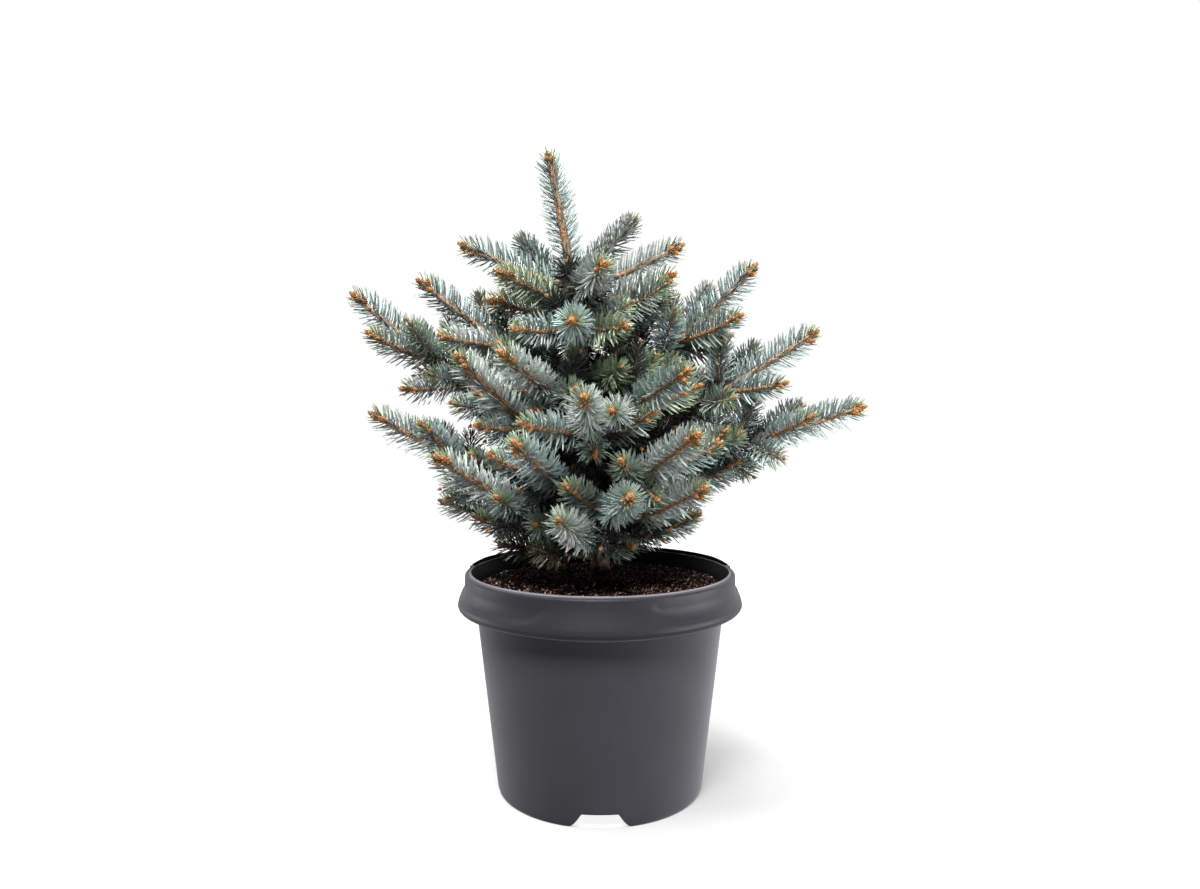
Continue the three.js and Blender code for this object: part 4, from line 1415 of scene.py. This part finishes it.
@functools.cache
def twig_tree():
    """A tree that makes a closed twig with pegged bark round each line."""
    tree, given, result = geometry_tree("Pegged Twigs", Step="Float", Sides="Int", Relief="Float",
                                        Material="Material")
    curve = add_node(tree, "GeometryNodeMeshToCurve", {"Mesh": given["Geometry"]})
    even = add_node(tree, "GeometryNodeResampleCurve",
                    {"Curve": curve.outputs["Curve"], "Length": given["Step"]}, mode="LENGTH")
    ring = add_node(tree, "GeometryNodeCurvePrimitiveCircle",
                    {"Resolution": given["Sides"], "Radius": 1.0})
    tube = add_node(tree, "GeometryNodeCurveToMesh",
                    {"Curve": even.outputs["Curve"], "Profile Curve": ring.outputs["Curve"],
                     "Scale": carried(tree, "thickness"), "Fill Caps": True})
    place = output(tree, "GeometryNodeInputPosition")
    normal = output(tree, "GeometryNodeInputNormal")
    pegs = add_node(tree, "ShaderNodeTexNoise",
                    {"Vector": place, "Scale": PEGS_PER_METRE, "Detail": 1.0})
    height = arithmetic(tree, "SUBTRACT", pegs.outputs[0], 0.5)
    height = arithmetic(tree, "MULTIPLY", height, given["Relief"])
    offset = vectors(tree, "SCALE", normal, height)
    rough = add_node(tree, "GeometryNodeSetPosition",
                     {"Geometry": tube.outputs["Mesh"], "Offset": offset})
    return close_tree(tree, given, result, rough.outputs["Geometry"])


def in_shade(shoot):
    """Whether a fine shoot takes the painted shade colour: it stays near the trunk, or it hangs under
    its bough.
    """
    tip = shoot.curve.tip
    reach = HEART_RADIUS * np.interp(tip[2], HEART_HEIGHTS, [1, HEART_NARROWS_TO])
    near = np.linalg.norm((tip - trunk_axis(tip[2]))[:2]) < reach
    hangs = tip[2] < shoot.curve.point(0)[2] + HANGING_RISE
    hidden = tip[1] > HANGING_FRONT and abs(tip[0]) < HANGING_SIDE
    return shoot.kind == "fine" and (near or (hangs and hidden))


def stem_thickness(kind, length):
    """The radius of a shoot's stem at its foot and at its tip, in metres."""
    full = min(1, 0.62 + 0.38 * length / TERMINAL_LENGTH)
    return [radius * full * MM for radius in STEM_RADII[kind]]


def leader_curve():
    """The leader's middle line, over the top of the trunk."""
    heights = (PLANT_TOP - TERMINAL_LENGTH - 6, PLANT_TOP - 38, PLANT_TOP)
    foot, middle, tip = (trunk_axis(z) for z in heights)
    return Curve(foot, 2 * middle - 0.5 * (foot + tip), tip)


def make_twigs(settings):
    """Last year's orange-brown stems, tapering to their buds, and the twigs of shaded shoots and of the
    old boughs in a darker brown that is partly painted shade.
    """
    _, shoots = plant()
    young, fine = [], []
    for shoot in shoots:
        path = shoot.curve.path(shoot.start - 0.02, 1 - 4 / shoot.curve.length, STEM_STEPS)
        stem = strand(path, thickness=stem_thickness(shoot.kind, shoot.length))
        # The twigs of shoots in painted shade, and of the old boughs, take the darker bark
        (fine if in_shade(shoot) or shoot.bough in OLD_BOUGHS else young).append(stem)
    young.append(strand(leader_curve().path(0, 0.95, STEM_STEPS),
                        thickness=stem_thickness("leader", TERMINAL_LENGTH)))
    masses = ["needles_" + name for bough_set, _, _ in BOUGH_SETS for name in bough_set]
    masses.append("leader_needles")
    for name, strands, plain, sides in (("young_twigs", young, settings.young_bark, YOUNG_SIDES),
                                        ("fine_twigs", fine, settings.fine_bark, FINE_SIDES)):
        piece = grown(line_object("twig_lines", strands), twig_tree(), name, Step=settings.twig_step,
                      Sides=sides, Relief=PEG_RELIEF * MM, Material=twig_bark(name, plain))
        finished(piece, "bark", *masses, smooth_angle=BARK_ANGLE)


# The needles


def needle_object(settings):
    """One three-edged needle that bends a little forwards (+X), waxier and with a painted highlight on
    one of its sides and painted shade on another.
    """
    half = settings.width / MM / 2
    length = settings.length / MM
    points = []
    for along, wide in NEEDLE_SECTIONS:
        bend = length * NEEDLE_BEND * along**2
        for angle in (0, math.tau / 3, math.tau * 2 / 3):
            out = half * wide
            points.append((bend + out * math.cos(angle), out * math.sin(angle), along * length))
    points.append((length * NEEDLE_BEND, 0, length))
    faces = ring_faces(3, 3) + [(6, 7, 9), (7, 8, 9), (8, 6, 9), (2, 1, 0)]
    made = new_object("needle", points, faces=faces)
    # Each face's share of waxy coat and painted light: pale as a painted highlight, dark as painted
    # shade, or between
    pale_to_dark = (1.0, 0.0, 0.5)
    mark(made, "bloom", pale_to_dark * 3 + (0,), domain="FACE")
    mark(made, "out", [along for along, _ in NEEDLE_SECTIONS for _ in range(3)] + [1])
    return made


@functools.cache
def needle_tree():
    """A tree that sets needles round each line by the golden angle, leaning forwards and a little up."""
    tree, given, result = geometry_tree(
        "Needled Shoots", Needle="Object", Spacing="Float", Lean="Float", Tip_Lean="Float",
        Parting="Float", Lift="Float", Stem="Float", Length="Float", Soil="Float", Rim="Float",
        Seed="Int", Material="Material")
    seed = given["Seed"]
    curve = add_node(tree, "GeometryNodeMeshToCurve", {"Mesh": given["Geometry"]}).outputs["Curve"]
    spots = add_node(tree, "GeometryNodeCurveToPoints", {"Curve": curve, "Length": given["Spacing"]},
                     mode="LENGTH").outputs
    along_shoot = spots["Tangent"]

    # Straight out from the shoot, a golden angle further round it for each needle
    index = output(tree, "GeometryNodeInputIndex")
    turn = arithmetic(tree, "ADD", arithmetic(tree, "MULTIPLY", index, NEEDLE_TURN),
                      drawn(tree, seed, -NEEDLE_STRAY, NEEDLE_STRAY))
    other = vectors(tree, "CROSS_PRODUCT", along_shoot, spots["Normal"])
    radial = vectors(tree, "ADD",
                     vectors(tree, "SCALE", spots["Normal"], arithmetic(tree, "COSINE", turn)),
                     vectors(tree, "SCALE", other, arithmetic(tree, "SINE", turn)))

    # The side that the needles sweep away from, and the angle that they lean at
    parting = combined(tree, Y=carried(tree, "side"), Z=-0.35)
    forward = vectors(tree, "DOT_PRODUCT", parting, along_shoot)
    parting = vectors(tree, "SUBTRACT", parting, vectors(tree, "SCALE", along_shoot, forward))
    swept = vectors(tree, "SUBTRACT", radial, vectors(tree, "SCALE", parting, given["Parting"]))
    swept = vectors(tree, "NORMALIZE", swept)
    facing = vectors(tree, "DOT_PRODUCT", parting, radial)
    in_parting = arithmetic(tree, "GREATER_THAN", facing, PARTING_EDGE)
    near_tip = arithmetic(tree, "POWER", carried(tree, "along"), 5.0)
    lean = ranged(tree, near_tip, given["Lean"], given["Tip Lean"])
    lean = arithmetic(tree, "MULTIPLY", lean, ranged(tree, in_parting, 1, PARTING_LEAN))
    lean = arithmetic(tree, "ADD", lean, drawn(tree, seed, -LEAN_STRAY, LEAN_STRAY, 5.0))
    heading = vectors(tree, "ADD",
                      vectors(tree, "SCALE", along_shoot, arithmetic(tree, "COSINE", lean)),
                      vectors(tree, "SCALE", swept, arithmetic(tree, "SINE", lean)))
    heading = vectors(tree, "ADD", heading, combined(tree, Z=given["Lift"]))
    heading = vectors(tree, "NORMALIZE", heading)
    rotation = add_node(tree, "FunctionNodeAlignRotationToVector",
                        {"Rotation": standing(tree, heading), "Vector": along_shoot},
                        axis="X", pivot_axis="Z").outputs[0]
    scale = arithmetic(tree, "MULTIPLY", carried(tree, "full"), drawn(tree, seed, *NEEDLE_SIZES, 9.0))

    # No needle ends in the soil or in the pot's rim, and few grow in the parting
    place = output(tree, "GeometryNodeInputPosition")
    reach = vectors(tree, "SCALE", heading, arithmetic(tree, "MULTIPLY", given["Length"], scale))
    tip = parts_of(tree, vectors(tree, "ADD", place, reach))
    on_rim = arithmetic(tree, "MULTIPLY",
                        arithmetic(tree, "GREATER_THAN", axis_distance(tree, tip), given["Rim"]),
                        arithmetic(tree, "LESS_THAN", tip["Z"], (POT_HEIGHT + 2) * MM))
    in_soil = arithmetic(tree, "LESS_THAN", tip["Z"], given["Soil"])
    left_out = arithmetic(tree, "GREATER_THAN", drawn(tree, seed, shift=3.0), PARTING_KEPT)
    blocked = chained(tree, "ADD", on_rim, in_soil, arithmetic(tree, "MULTIPLY", in_parting, left_out))
    free = arithmetic(tree, "LESS_THAN", blocked, 0.5)
    root = vectors(tree, "SCALE", radial, given["Stem"])
    moved = add_node(tree, "GeometryNodeSetPosition", {"Geometry": spots["Points"], "Offset": root})
    needles = placed(tree, moved.outputs["Geometry"], given["Needle"], rotation, scale, free)
    return close_tree(tree, given, result, needles)


def open_side(curve):
    """The side on which a shoot's needles part and its stem shows: -1 is the front and 1 the back."""
    return -1 if curve.point(0.6)[1] < FRONT_DEPTH else 1


def needle_strands(curve, start, fullness, bare, parted=True):
    """The lines that a shoot's needles and the tuft at its end stand on, with their size along them."""
    first = start + bare / curve.length
    last = 1 - TUFT_END / curve.length
    tuft = last - TUFT_LENGTH / curve.length
    side = [open_side(curve) if parted else 0] * 2
    body_sizes = [share * fullness for share in BODY_SIZES]
    tuft_sizes = [share * fullness for share in TUFT_SIZES]
    return (strand(curve.path(first, tuft, 12), along=[0, TUFT_START], full=body_sizes, side=side),
            strand(curve.path(tuft, last, 4), along=[TUFT_START, 1], full=tuft_sizes, side=side))


def tone_of(shoot, random):
    """The colour of a shoot's needles, by where it grows and by chance."""
    tip = shoot.curve.tip
    chance = random()
    near = min(math.hypot(tip[0] - x, tip[2] - z) for x, z in FRESH_PLACES)
    if shoot.bough in OLD_BOUGHS:
        return "dull"
    if near < FRESH_REACH and tip[1] < FRONT_DEPTH and chance < FRESH_SHARE:
        return "fresh"
    if in_shade(shoot):
        return "shade"
    return next(tone for tone, share in TONE_SHARES[shoot.kind] if chance < share)


def make_needles(settings):
    """All needles, in pieces by their colour."""
    boughs, shoots = plant()
    random = seeded(SEEDS["tones"])
    sprays = collections.defaultdict(list)
    for shoot in shoots:
        fullness = min(1, 0.7 + 0.3 * shoot.length / TERMINAL_LENGTH)
        body, tuft = needle_strands(shoot.curve, shoot.start, fullness, BARE_STEM[shoot.kind],
                                    shoot.kind != "fine")
        tone = tone_of(shoot, random)
        sprays[tone].append((body, shoot.bough))
        sprays[tone if tone in ("dull", "shade") else "tip"].append((tuft, shoot.bough))
    for bough in boughs:
        if bough.roll is not None:
            path = bough.curve.path(OLD_START / bough.curve.length, bough.node, 12)
            spray = strand(path, along=[0, OLD_END], full=OLD_SIZES, side=[0, 0])
            sprays["old"].append((spray, bough.name))
    body, tuft = needle_strands(leader_curve(), 0, 1, 0)
    sprays["blue"].append((body, None))
    sprays["tip"].append((tuft, None))
    needle = needle_object(settings)
    common = {"Needle": needle, "Lean": settings.lean, "Tip_Lean": settings.tip_lean,
              "Parting": settings.parting, "Lift": NEEDLE_LIFT, "Stem": NEEDLE_ROOT * MM,
              "Length": settings.length, "Soil": (SOIL_TOP + SOIL_CLEARANCE) * MM,
              "Rim": (LIP_INNER_RADIUS - RIM_CLEARANCE) * MM}
    for seed, (tone, rows) in enumerate(sorted(sprays.items())):
        spacing = settings.spacing * WIDER_SPACING.get(tone, 1)
        halves = [rows[::2], rows[1::2]] if tone in HALVED_TONES else [rows]
        finish = waxy_needles(tone, getattr(settings, tone))
        for number, half in enumerate(halves, 1):
            name = f"needles_{tone}_{number}" if len(halves) > 1 else f"needles_{tone}"
            lines = line_object("spray_lines", [spray for spray, _ in half])
            piece = grown(lines, needle_tree(), name, Spacing=spacing, Seed=seed * 20 + number,
                          Material=finish, **common)
            finished(piece, "needles", *sorted({"needles_" + bough for _, bough in half if bough}))
    discard(needle)


# The buds


def bud_object(settings):
    """One plump pointed bud of ragged overlapping scales, standing on its base."""
    length = settings.length / MM
    points = []
    for number, (along, wide) in enumerate(BUD_SECTIONS):
        for k in range(BUD_SIDES):
            angle = 2 * math.pi * k / BUD_SIDES
            tooth = (1 if (k + number // 2) % 2 else -1) * (number % 2)
            out = length * wide * (1 + 0.14 * tooth)
            height = length * (along + 0.05 * tooth)
            points.append((out * math.cos(angle), out * math.sin(angle), height))
    points.append((0, 0, length))
    top = (len(BUD_SECTIONS) - 1) * BUD_SIDES
    faces = ring_faces(len(BUD_SECTIONS), BUD_SIDES) + [tuple(range(BUD_SIDES))[::-1]]
    faces += [(top + k, top + (k + 1) % BUD_SIDES, len(points) - 1) for k in range(BUD_SIDES)]
    made = new_object("bud", points, faces=faces)
    gold = []
    for number, (along, _) in enumerate(BUD_SECTIONS):
        gold += [along if number % 2 else along + 0.25] * BUD_SIDES
    mark(made, "along", gold + [1])
    return made


@functools.cache
def bud_tree():
    """A tree that stands a bud on each point, along the point's heading."""
    tree, given, result = geometry_tree("Winter Buds", Bud="Object", Seed="Int", Material="Material")
    upright = standing(tree, carried(tree, "heading", "FLOAT_VECTOR"))
    spin = drawn(tree, given["Seed"], 0.0, math.tau)
    roll = add_node(tree, "FunctionNodeAxisAngleToRotation", {"Axis": (0, 0, 1), "Angle": spin})
    rotation = add_node(tree, "FunctionNodeRotateRotation",
                        {"Rotation": upright, "Rotate By": roll.outputs[0]},
                        rotation_space="LOCAL").outputs[0]
    buds = placed(tree, given["Geometry"], given["Bud"], rotation, carried(tree, "full"))
    return close_tree(tree, given, result, buds)


def bud_cluster(curve, length, count, size_of_end, spread, random):
    """Place, heading and size of a shoot's end bud and of the lesser ones that spread round it."""
    tip, tangent = curve.point(1), curve.tangent(1)
    rows = [(tip - tangent * length * size_of_end, tangent, size_of_end)]
    across = unit(np.cross(tangent, UP + 0.3))
    spin = random(0, 360)
    for k in range(count):
        spoke = turned(across, tangent, spin + 360 * k / count + random(-20, 20))
        angle = math.radians(random(*spread))
        heading = tangent * math.cos(angle) + spoke * math.sin(angle)
        place = tip - tangent * (length * size_of_end + random(0, 3)) + spoke * BUD_ROOT
        rows.append((place, heading, size_of_end * random(*ROUND_SIZE)))
    return rows


def bud_beside(curve, behind, spread, full, random):
    """Place, heading and size of a bud on a shoot's open side, some way behind its tip."""
    share = 1 - behind / curve.length
    tangent = curve.tangent(share)
    facing = np.array([0, open_side(curve), -0.2])
    spoke = turned(unit(facing - tangent * np.dot(facing, tangent)), tangent, random(-spread, spread))
    place = curve.point(share) + spoke * BUD_ROOT
    return place, unit(tangent * 0.75 + spoke), full * random(0.85, 1.15)


def make_buds(settings):
    """Winter buds: a cluster at each shoot's end, and small ones along it and round its foot."""
    _, shoots = plant()
    random = seeded(SEEDS["buds"])
    length = settings.length / MM
    rows = []
    budded = [shoot for shoot in shoots if shoot.bough not in OLD_BOUGHS]
    budded.append(Shoot("leader", None, leader_curve(), 0, TERMINAL_LENGTH))
    for shoot in budded:
        curve = shoot.curve
        counts = BUD_COUNTS["low" if curve.tip[2] < LOW_TIP and shoot.kind != "fine" else shoot.kind]
        spread = LEADER_BUD_SPREAD if shoot.kind == "leader" else BUD_SPREAD
        rows += bud_cluster(curve, length, counts.round_end, counts.size, spread, random)
        for _ in range(counts.behind):
            behind = random(*WHORL_BEHIND)
            rows.append(bud_beside(curve, behind, WHORL_ROLL, WHORL_SIZE * counts.size, random))
        for k in range(counts.along):
            behind = shoot.length * (k + random(0.7, 1.3)) / (counts.along + 1)
            rows.append(bud_beside(curve, behind, ALONG_ROLL, ALONG_SIZE, random))
    places, headings, sizes = zip(*rows)
    points = new_object("bud_points", places)
    mark(points, "heading", np.array(headings).ravel(), "FLOAT_VECTOR")
    mark(points, "full", sizes)
    bud = bud_object(settings)
    piece = grown(points, bud_tree(), "winter_buds", Bud=bud, Seed=4, Material=bud_scales(settings))
    discard(bud)
    finished(piece, "bark")


# The stage


def plain_floor(settings):
    """A pale matt floor that glows for the camera, as painted light over its shade, so that it looks
    white but for the pot's shadow at its right.
    """
    material, tree, shader = new_material("pale_floor", Roughness=0.9, Emission_Color=(1, 1, 1, 1))
    seen = output(tree, "ShaderNodeLightPath", "Is Camera Ray")
    tree.links.new(blended(tree, seen, settings.bounce, settings.floor), shader["Base Color"])
    place = output(tree, "ShaderNodeTexCoord", "Object")
    out = vectors(tree, "LENGTH", place)
    from_shadow = vectors(tree, "LENGTH", vectors(tree, "SUBTRACT", place, SHADOW_PLACE))
    # Painted light: the glow is strongest beneath the pot and far off, and weakest at the shadow's
    # middle
    beneath = ranged(tree, out, 0.34, 0.9, FOOT_RADIUS * MM, (FOOT_RADIUS - 4) * MM)
    away = ranged(tree, from_shadow, 0.28, 0.52, 0.01, 0.12, interpolation_type="SMOOTHSTEP")
    far = ranged(tree, out, 0, 0.9, 0.2, 0.6)
    glow = chained(tree, "MAXIMUM", beneath, away, far)
    tree.links.new(arithmetic(tree, "MULTIPLY", seen, glow), shader["Emission Strength"])
    return material


def soft_light(name, place, width, height, watts, aim):
    """A soft light that faces a point."""
    data = bpy.data.lights.new(name, "AREA")
    data.energy = watts
    data.shape = "RECTANGLE"
    data.size = width
    data.size_y = height
    lamp = linked(name, data)
    lamp.location = place
    lamp.rotation_euler = (Vector(aim) - Vector(place)).to_track_quat("-Z", "Y").to_euler()


def plain_world():
    """White for the eye, and for the plant a pale backdrop that is dim in front and bright behind."""
    world = bpy.data.worlds.new("plain_light")
    world.use_nodes = True
    tree = world.node_tree
    way = parts_of(tree, output(tree, "ShaderNodeTexCoord", "Generated"))
    seen = output(tree, "ShaderNodeLightPath", "Is Camera Ray")
    strength = ranged(tree, seen, ranged(tree, way["Y"], 0.02, 0.36, -0.1, 0.7), 1)
    back = tree.nodes["Background"].inputs
    back["Color"].default_value = (1, 1, 1, 1)
    tree.links.new(strength, back["Strength"])
    return world


def make_stage(scene, settings):
    """A pale floor, soft light from both sides and above, and the camera."""
    turns = [math.tau * k / FLOOR_SIDES for k in range(FLOOR_SIDES)]
    rim = [(FLOOR_RADIUS * math.cos(a), FLOOR_RADIUS * math.sin(a), -FLOOR_DROP) for a in turns]
    floor = new_object("floor", rim, faces=[tuple(range(FLOOR_SIDES))], material=plain_floor(settings))
    scene.world = plain_world()
    for name, row in LIGHTS.items():
        soft_light(name, *row)
    scene.view_settings.view_transform = "Standard"
    data = bpy.data.cameras.new("camera")
    data.lens = settings.lens
    camera = linked("camera", data)
    camera.location = (0, -settings.distance, settings.height)
    camera.rotation_euler = (math.radians(90) - settings.pitch, 0, 0)
    scene.camera = camera


# Operators


class SPRUCE_OT_pot(Operator):
    """Make the nursery pot"""

    bl_idname = "spruce.pot"
    bl_label = "Pot"

    def execute(self, context):
        make_pot(context.scene.spruce.pot)
        return {"FINISHED"}


class SPRUCE_OT_soil(Operator):
    """Make the bed of potting soil and the grains that lie on it"""

    bl_idname = "spruce.soil"
    bl_label = "Soil"

    def execute(self, context):
        settings = context.scene.spruce.soil
        make_grains(make_soil(settings), settings)
        return {"FINISHED"}


class SPRUCE_OT_trunk(Operator):
    """Make the trunk with its bark"""

    bl_idname = "spruce.trunk"
    bl_label = "Trunk"

    def execute(self, context):
        make_trunk(context.scene.spruce.wood)
        return {"FINISHED"}


class SPRUCE_OT_boughs(Operator):
    """Make the older wood of the boughs"""

    bl_idname = "spruce.boughs"
    bl_label = "Boughs"

    def execute(self, context):
        make_boughs(context.scene.spruce.wood)
        return {"FINISHED"}


class SPRUCE_OT_twigs(Operator):
    """Make last year's twigs"""

    bl_idname = "spruce.twigs"
    bl_label = "Twigs"

    def execute(self, context):
        make_twigs(context.scene.spruce.wood)
        return {"FINISHED"}


class SPRUCE_OT_needles(Operator):
    """Make the needles, in pieces by colour"""

    bl_idname = "spruce.needles"
    bl_label = "Needles"

    def execute(self, context):
        make_needles(context.scene.spruce.needles)
        return {"FINISHED"}


class SPRUCE_OT_buds(Operator):
    """Make the winter buds"""

    bl_idname = "spruce.buds"
    bl_label = "Buds"

    def execute(self, context):
        make_buds(context.scene.spruce.buds)
        return {"FINISHED"}


class SPRUCE_OT_stage(Operator):
    """Make the floor, the light and the camera"""

    bl_idname = "spruce.stage"
    bl_label = "Stage"

    def execute(self, context):
        make_stage(context.scene, context.scene.spruce.stage)
        return {"FINISHED"}


OPERATORS = (SPRUCE_OT_stage, SPRUCE_OT_pot, SPRUCE_OT_soil, SPRUCE_OT_trunk, SPRUCE_OT_boughs,
             SPRUCE_OT_twigs, SPRUCE_OT_needles, SPRUCE_OT_buds)


class VIEW3D_PT_spruce(Panel):
    """The steps that make the potted spruce, and their settings"""

    bl_idname = "VIEW3D_PT_spruce"
    bl_label = "Potted Spruce"
    bl_space_type = "VIEW_3D"
    bl_region_type = "UI"
    bl_category = "Spruce"

    def draw(self, context):
        for operator in OPERATORS:
            self.layout.operator(operator.bl_idname)
        for group in ("pot", "soil", "wood", "needles", "buds", "stage"):
            settings = getattr(context.scene.spruce, group)
            box = self.layout.box()
            box.label(text=group.title())
            for key in type(settings).__annotations__:
                box.prop(settings, key)


CLASSES = (PotSettings, SoilSettings, WoodSettings, NeedleSettings, BudSettings, StageSettings,
           SpruceSettings, *OPERATORS, VIEW3D_PT_spruce)


def register():
    for cls in CLASSES:
        bpy.utils.register_class(cls)
    bpy.types.Scene.spruce = PointerProperty(type=SpruceSettings)


def unregister():
    del bpy.types.Scene.spruce
    for cls in reversed(CLASSES):
        bpy.utils.unregister_class(cls)


def main():
    register()
    for operator in OPERATORS:
        name = operator.bl_idname.split(".")[1]
        getattr(bpy.ops.spruce, name)()


if __name__ == "__main__":
    main()
